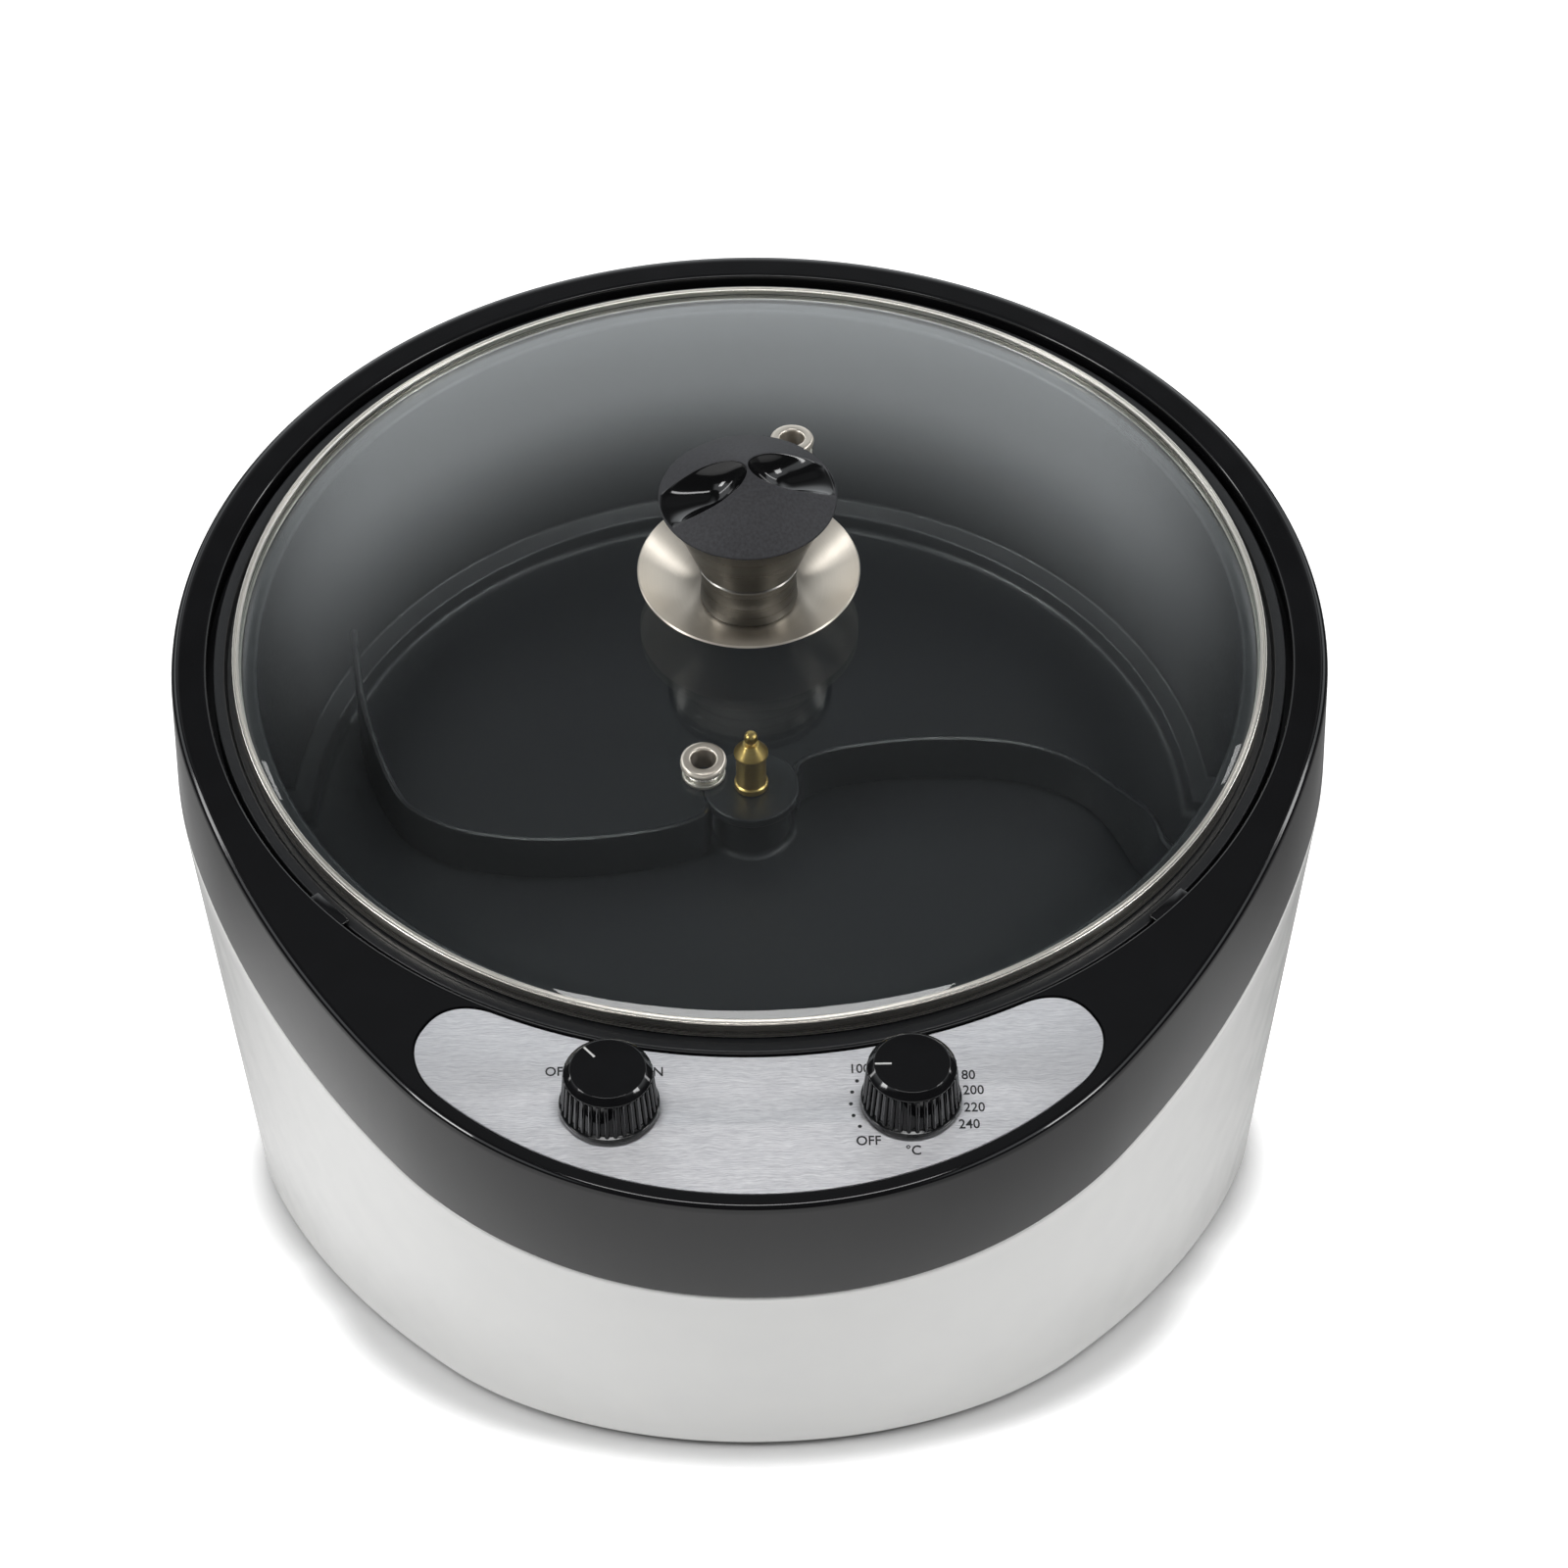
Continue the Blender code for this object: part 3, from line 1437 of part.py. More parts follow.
def make_lid_knob():
    hole = knob_screw_radius + bolt_gap
    seat = glass_top_level + fit_gap
    dish = []
    dish_steps = 4
    for step in range(dish_steps + 1):
        share = step / dish_steps
        radius = saucer_seat_radius + (saucer_radius - saucer_seat_radius) * share
        dish.append((radius, seat + saucer_height * share**1.5))
    top_side = [(hole, seat + saucer_sheet)] + [(radius, level + saucer_sheet) for radius, level in dish]
    under_side = [*reversed(dish), (hole, seat)]
    turned("lid_knob_saucer", top_side + under_side, medium_steps, "satin_steel", lid_axis)
    collar_bottom = seat + saucer_sheet + fit_gap
    collar_top = collar_bottom + collar_height
    collar_profile = [
        (seam_radius, collar_top),
        (collar_waist_radius, collar_bottom + collar_height * 2 / 3),
        (collar_waist_radius, collar_bottom + collar_height / 3),
        (collar_radius, collar_bottom),
        (hole, collar_bottom),
        (hole, collar_top),
    ]
    turned("lid_knob_collar", collar_profile, medium_steps, "dark_steel", lid_axis)
    cone_bottom = collar_top + fit_gap
    cone_top = cone_bottom + cone_height
    bore_top = cone_bottom + knob_screw_reach
    cone_profile = [
        (0, cone_top),
        (cone_radius, cone_top),
        ((cone_radius + seam_radius) / 2 - fit_gap, cone_bottom + cone_height / 2),
        (seam_radius, cone_bottom),
        (hole, cone_bottom),
        (hole, bore_top),
        (0, bore_top),
    ]
    turned("lid_knob_cone", cone_profile, medium_steps, "dark_steel", lid_axis)
    make_knob_cap(cone_top + fit_gap)
    under = glass_level(hole) - glass_thickness - fit_gap
    washer_bottom = under - knob_washer_thickness
    washer_profile = [
        (knob_washer_radius, under),
        (knob_washer_radius, washer_bottom),
        (hole, washer_bottom),
        (hole, under),
    ]
    turned("lid_knob_washer", washer_profile, small_steps, "rubber", lid_axis)
    head_top = washer_bottom - fit_gap
    screw_profile = [
        (0, bore_top - fit_gap),
        (knob_screw_radius, bore_top - fit_gap),
        (knob_screw_radius, head_top),
        (knob_screw_head_radius, head_top),
        (knob_screw_head_radius, head_top - knob_screw_head_height),
        (0, head_top - knob_screw_head_height),
    ]
    turned("lid_knob_screw", screw_profile, fine_steps, "satin_steel", lid_axis)


def make_knob_cap(bottom):
    """Domed cap with a finger scoop on either side of its ridge."""
    rim = bottom + cap_rim_height
    dome_steps = 5
    profile = [(0, rim + cap_dome_height)]
    for step in range(1, dome_steps + 1):
        angle = math.pi / 2 * step / dome_steps
        profile.append((cap_radius * math.sin(angle), rim + cap_dome_height * math.cos(angle)))
    profile.append((cap_radius - cap_rim_height / 2, bottom))
    profile.append((0, bottom))
    cap = turned("lid_knob_cap", profile, medium_steps, "cap_black", lid_axis)
    turn = Matrix.Rotation(math.radians(scoop_turn_deg), 4, "Z")
    for index, side in enumerate((-1, 1)):
        scoop_place = turn @ shift(side * scoop_offset, 0, rim + cap_dome_height)
        cut(cap, scoop_form(f"scoop_cutter_{index + 1}", scoop_place))


def scoop_form(name, matrix):
    """Long round form that hollows out a scoop."""

    def build(sketch):
        bmesh.ops.create_uvsphere(sketch, u_segments=small_steps, v_segments=fine_steps, radius=1)
        bmesh.ops.scale(sketch, verts=sketch.verts, vec=(scoop_length, scoop_half_width, scoop_depth))

    return add_object(name, mesh_from(build, name), None, lid_axis, matrix)


# Rear power inlet
def make_inlet(back_wall):
    width, height = inlet_flange_size
    flange_back = -inlet_flange_sink - inlet_flange_thickness
    inlet = box(
        "power_inlet",
        (width, inlet_flange_thickness, height),
        (0, -inlet_flange_sink - inlet_flange_thickness / 2, 0),
        0,
        "inner_plastic",
        back_wall,
    )
    body_width, body_height = inlet_body_size
    body_front = -inlet_flange_sink - inlet_flange_thickness / 2
    body_back = flange_back - inlet_body_depth
    body = box(
        "inlet_body_form",
        (body_width, body_front - body_back, body_height),
        (0, (body_front + body_back) / 2, 0),
        0,
        None,
        back_wall,
    )
    join(inlet, body)
    socket_width, socket_height = inlet_socket_size
    half_width, half_height = socket_width / 2, socket_height / 2
    bevel = inlet_corner_bevel
    outline = [
        (bevel - half_width, -half_height),
        (half_width - bevel, -half_height),
        (half_width, bevel - half_height),
        (half_width, half_height),
        (-half_width, half_height),
        (-half_width, bevel - half_height),
    ]
    face = -inlet_flange_sink
    floor = face - inlet_socket_depth
    socket_cut = plate(
        "inlet_socket_cutter",
        outline,
        (),
        inlet_socket_depth + cut_overrun,
        None,
        back_wall,
        shift(y=floor) @ Matrix.Rotation(-math.pi / 2, 4, "X"),
    )
    cut(inlet, socket_cut)
    pin_width, pin_height = inlet_pin_size
    places = {
        "live": (-inlet_pin_spacing, 0),
        "neutral": (inlet_pin_spacing, 0),
        "earth": (0, inlet_earth_offset),
    }
    for name, (x, z) in places.items():
        hole = box(
            f"inlet_{name}_cutter",
            (pin_width + 2 * fit_gap, 2 * (inlet_pin_root + fit_gap), pin_height + 2 * fit_gap),
            (x, floor, z),
            0,
            None,
            back_wall,
        )
        cut(inlet, hole)
        root = floor - inlet_pin_root
        tip = root + inlet_pin_length
        centre = (x, (root + tip) / 2, z)
        box(f"inlet_pin_{name}", (pin_width, tip - root, pin_height), centre, 0, "satin_steel", back_wall)


make_top_cover()
make_control_panel()
inlet_frame = make_body_shell()
make_feet()
make_base_plate()
make_pot()
make_heat_shield()
make_heating_element()
make_element_supports()
make_thermal_cutout()
make_thermostat_sensor()
make_control("power", switch_size, "inner_plastic", power_axis)
make_control("temperature", thermostat_size, "zinc_sheet", temperature_axis)
make_knob("power_knob", power_axis)
make_knob("temperature_knob", temperature_axis)
make_drive()
make_stirrer()
make_lid_glass()
make_lid_knob()
make_inlet(inlet_frame)
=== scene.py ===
"""Looks of a tilted home coffee roaster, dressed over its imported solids.

Units are metres, +Z is up and +Y points to the back. The deck frame has its origin on the pot's axis at the
cover's top face: its X runs to the right, its Y up the slope and its Z along the pot's axis.
"""

from math import atan, atan2, cos, hypot, pi, radians, sin, sqrt, tan

import bmesh
import bpy
from mathutils import Matrix, Vector


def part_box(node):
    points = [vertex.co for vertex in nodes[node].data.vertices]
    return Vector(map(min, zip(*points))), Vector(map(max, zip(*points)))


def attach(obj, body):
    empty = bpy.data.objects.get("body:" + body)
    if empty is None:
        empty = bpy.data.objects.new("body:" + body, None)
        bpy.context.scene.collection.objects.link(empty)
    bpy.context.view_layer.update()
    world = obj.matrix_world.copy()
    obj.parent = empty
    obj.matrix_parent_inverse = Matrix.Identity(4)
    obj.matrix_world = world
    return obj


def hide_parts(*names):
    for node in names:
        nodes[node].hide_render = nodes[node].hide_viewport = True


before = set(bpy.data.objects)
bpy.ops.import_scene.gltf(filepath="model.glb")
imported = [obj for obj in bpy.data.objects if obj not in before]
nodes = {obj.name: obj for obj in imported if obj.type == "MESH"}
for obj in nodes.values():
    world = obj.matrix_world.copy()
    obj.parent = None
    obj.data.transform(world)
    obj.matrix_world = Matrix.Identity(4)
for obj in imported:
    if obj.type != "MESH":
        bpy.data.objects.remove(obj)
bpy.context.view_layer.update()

# Deck and outline, as on the solids
deck_place = Vector((0, -0.0033125, 0.1753))
deck_tilt = radians(25)
back_radius = 0.1565
flank_radius = 0.3203
nose_radius = 0.1185
nose_reach = 0.197
deck_thickness = 0.003
cover_wall = 0.0025
edge_round = 0.0022
skirt_depth = 0.0343
skirt_flare = 0.0014
recess_radius = 0.147
recess_edge_round = 0.0008
ledge_inner_radius = 0.1385
ledge_top = -0.0066
ledge_bottom = -0.011
lug_size = (0.0032, 0.013, 0.001)
lug_level = -0.0014
lug_turns = (radians(221), radians(317))
fit_gap = 0.0003

# White body
base_inset = 0.0114
base_back_shift = 0.0622
base_front_reach = 0.1967
base_back_reach = 0.1218
body_wall = 0.0025
bead_round = 0.0014
body_top = -0.0346
foot_height = 0.0037
foot_radius = 0.009
body_bottom = 0.004
# Circles about the foot's outline, inside which the floor's glow is cut away: a painted contact shadow
painted_shadow_circles = ((0.038, 0.136), (0.005, 0.1235), (-0.026, 0.112))
lip_top = 0.0065
lip_width = 0.024
foot_edge_round = 0.0012
foot_rim_bottom = 0.0016
foot_rim_width = 0.0022

# Control panel and knobs
panel_inner_gap = 0.0016
panel_outer_margin = 0.005
panel_border = 0.0005
panel_top = -0.0002
panel_thickness = 0.0008
panel_half_angle = radians(31.6)
panel_cap_angle = radians(26.5)
panel_cap_power = 2.4
control_spread = 0.0375
control_back = -0.164
power_rest = radians(130)
temperature_rest = radians(180)
neck_hole_radius = 0.005
knob_foot = 0.0009
knob_height = 0.0141
dial_radius = 0.0111
dial_flange_radius = 0.0126
dial_hollow_radius = 0.0085
dial_bore_radius = 0.0033
dial_bore_depth = 0.0114
pointer_size = (0.0042, 0.00065, 0.0005)
pointer_end = 0.0092
rib_count = 34
rib_radius = 0.00062
letter_height = 0.0029
letter_stretch = 0.86
print_depth = 0.00006
dot_radius = 0.0005
dot_count = 5
dot_reach = 0.015
dot_turns = (radians(152), radians(210))

# Pot, stirrer, lid
pot_seat_radius = 0.1415
pot_seat_level = -0.0036
pot_rim_radius = 0.1455
pot_rim_level = -0.0022
pot_flange_under = -0.0052
pot_mouth_radius = 0.133
pot_mouth_outside = 0.1346
pot_step_level = -0.072
pot_step_under = -0.0736
pot_floor_level = -0.078
pot_under_level = -0.0805
hub_boss_radius = 0.011
hub_boss_level = -0.065
hub_hole_radius = 0.0061
blade_reach = 0.1207
blade_bottom = -0.0768
blade_thickness = 0.002
blade_rise = 0.021
blade_rise_start = 0.72
hub_plate_level = -0.064
hub_plate_thickness = 0.003
hub_plate_radius = 0.0135
stud_hole_radius = 0.0028
nut_level = -0.0607
nut_height = 0.0207
nut_bore_depth = 0.0079
lid_radius = 0.14
band_bottom = -0.0033
band_wall = 0.0008
glass_edge_level = 0.0009
glass_rise = 0.0137
glass_thickness = 0.0033
glass_edge_radius = 0.1389
glass_edge_round = 0.0008
glass_shoulder = 0.133
glass_shoulder_drop = 0.0004
vent_offset = 0.062
vent_angle = radians(78)
vent_hole_radius = 0.0046
knob_hole_radius = 0.0033

# Finger scoops of the lid knob's cap
cap_radius = 0.0234
cap_rim_height = 0.0009
cap_rise = 0.0105
cap_fall_power = 1.5
scoop_turn = radians(14)
scoop_start = 0.0003
scoop_widest = 0.0125
scoop_half_width = 0.0074
scoop_narrowing = 0.0012
scoop_floor_share = 0.1
scoop_floor_power = 2.2
scoop_hollow_power = 2.6
scoop_edge_blend = 0.0005

# Rear inlet, foot plate
inlet_place = Vector((0, 0.176366, 0.038))
inlet_lean = radians(7.2446)
inlet_flange = (0.032, 0.0256, 0.0016)
inlet_sink = 0.0017
inlet_body = (0.028, 0.0204, 0.02)
inlet_socket = (0.0244, 0.0166, 0.0155)
inlet_pin = (0.002, 0.009, 0.004)
inlet_pin_places = {"live": (-0.007, 0), "neutral": (0.007, 0), "earth": (0, 0.004)}
plate_level = 0.0068
plate_thickness = 0.002
plate_inset = 0.0055
slot_count = 7
slot_size = (0.05, 0.004)
slot_pitch = 0.011
slots_back = 0.075

# Studio
paper_white = 0.8
paper_glow = 0.75
paper_mirrored = 0.5
# Reach outside the foot over which the floor's glow fades in: a painted contact shadow
painted_shadow_reach = (0.002, 0.019)
room_gleam = 0.05
room_fill = 0.4

# Facets of the fine pieces
round_steps = 160
small_steps = 64
fillet_steps = 6
back_steps = 150
flank_steps = 22
nose_steps = 70


# Meshes
def shift(x=0, y=0, z=0):
    """Matrix of a plain move."""
    return Matrix.Translation((x, y, z))


def spin(angle, axis="Z"):
    """Matrix of a turn, about the pot's axis when no other is named."""
    return Matrix.Rotation(angle, 4, axis)


deck = Matrix.Translation(deck_place) @ spin(deck_tilt, "X")


def shares(steps, first=0):
    """Fractions from first / steps to one, in even steps."""
    return [step / steps for step in range(first, steps + 1)]


def rounded(corners, closed=True):
    """Profile points from corners of (radius, level, rounding), each corner drawn as an arc of its rounding."""
    points = []
    last = len(corners) - 1
    for index, (x, y, rounding) in enumerate(corners):
        here = Vector((x, y))
        if not rounding or (not closed and index in (0, last)):
            points.append(here)
            continue
        before = (Vector(corners[index - 1][:2]) - here).normalized()
        after = (Vector(corners[(index + 1) % len(corners)][:2]) - here).normalized()
        half = before.angle(after) / 2
        centre = here + (before + after).normalized() * rounding / sin(half)
        first = here + before * rounding / tan(half) - centre
        final = here + after * rounding / tan(half) - centre
        start = atan2(first.y, first.x)
        sweep = (atan2(final.y, final.x) - start + pi) % (2 * pi) - pi
        for share in shares(fillet_steps):
            angle = start + sweep * share
            points.append(centre + rounding * Vector((cos(angle), sin(angle))))
    return points


def skin(rings, around=True, capped=True):
    """Sketch of a skin over rings of points: rings of one point are poles."""
    sketch = bmesh.new()
    loops = [[sketch.verts.new(point) for point in ring] for ring in rings]
    count = max(len(loop) for loop in loops)
    pairs = list(zip(loops, loops[1:]))
    if around:
        pairs.append((loops[-1], loops[0]))
    for near, far in pairs:
        for i in range(count):
            j = (i + 1) % count
            corners = (near[i % len(near)], near[j % len(near)], far[j % len(far)], far[i % len(far)])
            corners = list(dict.fromkeys(corners))
            if len(corners) > 2:
                sketch.faces.new(corners)
    if capped and not around:
        for loop in (loops[0], loops[-1]):
            if len(loop) > 2:
                sketch.faces.new(loop)
    bmesh.ops.recalc_face_normals(sketch, faces=sketch.faces)
    return sketch


def circle(radius, steps=small_steps, centre=(0, 0)):
    turns = [2 * pi * step / steps for step in range(steps)]
    return [(centre[0] + radius * cos(turn), centre[1] + radius * sin(turn)) for turn in turns]


def lathe(profile, steps=round_steps):
    """Sketch turned about Z from a closed profile of radius and level, or one that ends on the axis."""
    rings = []
    for radius, level in profile:
        line = [(0, 0)] if radius < 1e-6 else circle(radius, steps)
        rings.append([Vector((x, y, level)) for x, y in line])
    return skin(rings, around=len(rings[0]) > 1, capped=False)


def turned(corners, steps=round_steps, closed=True):
    """Sketch turned from corners of (radius, level, rounding)."""
    return lathe(rounded(corners, closed), steps)


def bevel(sketch, edges, width, segments):
    bmesh.ops.bevel(sketch, geom=edges, offset=width, segments=segments, profile=0.5, affect="EDGES")


def block(size, centre, rounding=0, segments=3):
    """Sketch of a box about a centre, with rounded edges."""
    sketch = bmesh.new()
    bmesh.ops.create_cube(sketch, size=1)
    bmesh.ops.scale(sketch, verts=sketch.verts, vec=size)
    bmesh.ops.translate(sketch, verts=sketch.verts, vec=centre)
    if rounding:
        bevel(sketch, sketch.edges[:], rounding, segments)
    return sketch


def flat(outline, thickness, holes=()):
    """Sketch of a flat plate with holes, its underside at level zero."""
    curve = bpy.data.curves.new("flat", "CURVE")
    curve.dimensions = "2D"
    curve.fill_mode = "BOTH"
    curve.extrude = thickness / 2
    for loop in (outline, *holes):
        spline = curve.splines.new("POLY")
        spline.points.add(len(loop) - 1)
        for point, (x, y) in zip(spline.points, loop):
            point.co = (x, y, 0, 1)
        spline.use_cyclic_u = True
    sketch = sketch_of(put("flat", curve))
    bmesh.ops.translate(sketch, verts=sketch.verts, vec=(0, 0, thickness / 2))
    return sketch


def put(name, data):
    """Object in the scene."""
    thing = bpy.data.objects.new(name, data)
    bpy.context.scene.collection.objects.link(thing)
    return thing


def sketch_of(thing):
    """Sketch of a helper object as Blender evaluates it. The helper is removed."""
    bpy.context.view_layer.update()
    mesh = bpy.data.meshes.new_from_object(thing.evaluated_get(bpy.context.evaluated_depsgraph_get()))
    bpy.data.objects.remove(thing)
    sketch = bmesh.new()
    sketch.from_mesh(mesh)
    bpy.data.meshes.remove(mesh)
    bmesh.ops.remove_doubles(sketch, verts=sketch.verts, dist=1e-6)
    bmesh.ops.recalc_face_normals(sketch, faces=sketch.faces)
    return sketch


def mesh_of(sketch, place=Matrix.Identity(4), name="form"):
    """Mesh of a sketch, moved to its place."""
    sketch.transform(place)
    mesh = bpy.data.meshes.new(name)
    sketch.to_mesh(mesh)
    sketch.free()
    return mesh


def combined(sketch, others, operation="DIFFERENCE"):
    """Sketch after cutting it with other sketches, or joining them, in turn."""
    thing = put("form", mesh_of(sketch))
    helpers = []
    for other in others:
        helpers.append(put("tool", mesh_of(other)))
        boolean = thing.modifiers.new("form", "BOOLEAN")
        boolean.operation = operation
        boolean.object = helpers[-1]
        boolean.solver = "EXACT"
    result = sketch_of(thing)
    for helper in helpers:
        bpy.data.objects.remove(helper)
    return result


def bevelled(sketch, width, segments=2):
    """Sketch with its edges of more than 50 degrees rounded."""
    over = radians(50)
    edges = [edge for edge in sketch.edges if len(edge.link_faces) == 2 and edge.calc_face_angle() > over]
    bevel(sketch, edges, width, segments)
    return sketch


socket_kinds = {int: "NodeSocketInt", float: "NodeSocketFloat", tuple: "NodeSocketVector"}


def start_growth(name, sizes):
    """Node tree with an input for each of the named sizes, and the outputs that hand them out, by name."""
    tree = bpy.data.node_groups.new(name, "GeometryNodeTree")
    tree.interface.new_socket("Geometry", in_out="OUTPUT", socket_type="NodeSocketGeometry")
    for label, size in sizes.items():
        tree.interface.new_socket(label, in_out="INPUT", socket_type=socket_kinds[type(size)])
    given = add_node(tree, "NodeGroupInput")
    return tree, {label: (given, label) for label in sizes}


def grown(tree, sizes, finish, **standing):
    """Sketch of a form that a node tree stands on points, made real in its finish, with the tree's sizes set."""
    stood = add_node(tree, "GeometryNodeInstanceOnPoints", standing)
    real = add_node(tree, "GeometryNodeRealizeInstances", {"Geometry": (stood, "Instances")})
    coated = add_node(tree, "GeometryNodeSetMaterial", {"Geometry": (real, "Geometry"), "Material": finish})
    add_node(tree, "NodeGroupOutput", {"Geometry": (coated, "Geometry")})
    carrier = put(tree.name, bpy.data.meshes.new(tree.name))
    growth = carrier.modifiers.new(tree.name, "NODES")
    growth.node_group = tree
    for socket in tree.interface.items_tree:
        if socket.item_type == "SOCKET" and socket.in_out == "INPUT":
            growth[socket.identifier] = sizes[socket.name]
    return sketch_of(carrier)


def stood_round(name, finish, count, reach, first, sweep, radius, height, lean, sides):
    """Sketch of rods stood along an arc and leaned outwards, made by a node tree."""
    sizes = {"Count": count, "Sides": sides, "Reach": reach, "First": first, "Sweep": sweep}
    sizes |= {"Radius": radius, "Height": height, "Lean": lean}
    tree, given = start_growth(name, sizes)
    bend = {"Start Angle": given["First"], "Sweep Angle": given["Sweep"]}
    bend |= {"Resolution": given["Count"], "Radius": given["Reach"]}
    arc = add_node(tree, "GeometryNodeCurveArc", bend, mode="RADIUS")
    line = add_node(tree, "GeometryNodeCurveToMesh", {"Curve": (arc, "Curve")})
    form = {"Vertices": given["Sides"], "Radius": given["Radius"], "Depth": given["Height"]}
    rod = add_node(tree, "GeometryNodeMeshCylinder", form)
    home = (add_node(tree, "GeometryNodeInputPosition"), "Position")
    outward = (add_node(tree, "FunctionNodeAlignRotationToVector", {"Vector": home}, axis="X"), "Rotation")
    tilt = (add_node(tree, "ShaderNodeCombineXYZ", {"Y": given["Lean"]}), "Vector")
    turns = {"Rotation": outward, "Rotate By": tilt}
    leaned = (add_node(tree, "FunctionNodeRotateRotation", turns, rotation_space="LOCAL"), "Rotation")
    return grown(tree, sizes, finish, Points=(line, "Mesh"), Instance=(rod, "Mesh"), Rotation=leaned)


def add_piece(name, sketch, place, body, finish, stands_for=(), sharp_deg=32):
    """Finished piece with its place in its mesh, riding on a body."""
    mesh = mesh_of(sketch, place, name)
    mesh.shade_smooth()
    mesh.set_sharp_from_angle(angle=radians(sharp_deg))
    # Clearing also resets the material indices that a cut leaves on faces
    mesh.materials.clear()
    mesh.materials.append(finish)
    thing = put(name, mesh)
    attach(thing, body)
    if stands_for:
        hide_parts(*stands_for)
    return thing


def dress(node, finish):
    """Better finish on a solid that stays as it is."""
    nodes[node].data.materials.clear()
    nodes[node].data.materials.append(finish)


# Outlines
def oval_points(inset):
    """Outline of the deck, drawn in by inset, counter-clockwise from the right."""
    drop = nose_reach - nose_radius
    to_back = flank_radius - back_radius
    to_nose = flank_radius - nose_radius
    centre_y = (to_nose**2 - to_back**2 - drop**2) / (2 * drop)
    centre_x = sqrt(to_back**2 - centre_y**2)
    wrap = atan2(centre_y, centre_x)
    turn = atan2(centre_y + drop, centre_x)
    arcs = (
        (0, 0, back_radius, -wrap, pi + wrap, back_steps),
        (centre_x, centre_y, flank_radius, pi + wrap, pi + turn, flank_steps),
        (0, -drop, nose_radius, pi + turn, 2 * pi - turn, nose_steps),
        (-centre_x, centre_y, flank_radius, -turn, -wrap, flank_steps),
    )
    points = []
    for x, y, radius, first, last, steps in arcs:
        for step in range(steps):
            angle = first + (last - first) * step / steps
            points.append((x + (radius - inset) * cos(angle), y + (radius - inset) * sin(angle)))
    return points


outline_turns = [atan2(v, u) for u, v in oval_points(0)]


def oval_ring(inset, level):
    return [Vector((u, v, level)) for u, v in oval_points(inset)]


def round_ring(radius, level):
    """Circle about the pot's axis, each point facing one of the outline's points."""
    return [Vector((radius * cos(turn), radius * sin(turn), level)) for turn in outline_turns]


def foot_line(inset):
    """Plan outline of the body's foot, drawn in by inset, in world coordinates."""
    front_share = base_front_reach / (nose_reach - base_inset)
    back_share = base_back_reach / (back_radius - base_inset)
    line = []
    for u, v in oval_points(base_inset + inset):
        share = back_share if v > 0 else front_share
        line.append((u, deck_place.y + base_back_shift + v * share))
    return line


def foot_ring(inset, height):
    return [Vector((x, y, height)) for x, y in foot_line(inset)]


def panel_line(grow):
    """Crescent of the control panel, between the recess and the deck's front edge."""
    inner = recess_radius + panel_inner_gap - grow
    tip = panel_half_angle + grow / recess_radius
    edge = [Vector(point) for point in oval_points(panel_outer_margin - grow)]
    near_side, far_side = [], []
    cap_steps = 24
    middle_steps = 60
    turns = [panel_cap_angle * (2 * step / middle_steps - 1) for step in range(middle_steps + 1)]
    ends = [
        panel_cap_angle + (tip - panel_cap_angle) * sin(pi / 2 * (step + 1) / cap_steps)
        for step in range(cap_steps)
    ]
    for turn in [-end for end in reversed(ends)] + turns + ends:
        ahead = Vector((sin(turn), -cos(turn)))
        side = Vector((ahead.y, -ahead.x))
        outer = nose_reach
        for start, end in zip(edge, edge[1:] + edge[:1]):
            near, far = start.dot(side), end.dot(side)
            if near * far <= 0 and start.dot(ahead) > 0 and near != far:
                outer = start.lerp(end, near / (near - far)).dot(ahead)
                break
        past = max(0, abs(turn) - panel_cap_angle) / (tip - panel_cap_angle)
        half = (outer - inner) / 2 * max(0, 1 - past**panel_cap_power) ** (1 / panel_cap_power)
        middle = (outer + inner) / 2
        near_side.append(ahead * (middle - half))
        far_side.append(ahead * (middle + half))
    return [tuple(point) for point in far_side + near_side[-2:0:-1]]


# Finishes
def linear(hex_colour):
    """Linear colour from an sRGB hex value."""
    channels = [int(hex_colour[i : i + 2], 16) / 255 for i in (1, 3, 5)]
    steps = [c / 12.92 if c <= 0.04045 else ((c + 0.055) / 1.055) ** 2.4 for c in channels]
    return (*steps, 1)


def wire(tree, source, node, socket):
    """Link a (node, output) pair to a node's socket."""
    tree.links.new(source[0].outputs[source[1]], node.inputs[socket])


def add_node(tree, kind, inputs=None, **settings):
    """Node of a kind with its settings, and its inputs set to values or linked from (node, output) pairs."""
    made = tree.nodes.new(kind)
    for key, value in settings.items():
        setattr(made, key, value)
    for key, value in (inputs or {}).items():
        if isinstance(value, tuple) and isinstance(value[0], bpy.types.Node):
            wire(tree, value, made, key)
        else:
            made.inputs[key].default_value = value
    return made


def reckoned(tree, operation, *terms, clamp=False):
    """Output of a sum or another operation on its terms."""
    terms = dict(enumerate(terms))
    return add_node(tree, "ShaderNodeMath", terms, operation=operation, use_clamp=clamp), "Value"


def vector_of(tree, operation, *terms, output="Vector"):
    """Output of an operation on vectors."""
    return add_node(tree, "ShaderNodeVectorMath", dict(enumerate(terms)), operation=operation), output


def graded(tree, value, span, reach, soft=False):
    """Value brought from one span to another and held at both ends, straight or with soft ends."""
    ends = {"Value": value, "From Min": span[0], "From Max": span[1], "To Min": reach[0], "To Max": reach[1]}
    return add_node(tree, "ShaderNodeMapRange", ends, interpolation_type="SMOOTHSTEP" if soft else "LINEAR"), "Result"


def toned(tree, factor, low, high):
    """Colour between two others by a factor."""
    # A Mix node has sockets for each data type: 6, 7 and output 2 are the colour ones
    return add_node(tree, "ShaderNodeMix", {0: factor, 6: low, 7: high}, data_type="RGBA"), 2


def noise(tree, coords, scale, **inputs):
    """Cloudy value of a scale per metre."""
    return add_node(tree, "ShaderNodeTexNoise", {"Vector": coords, "Scale": scale} | inputs), "Fac"


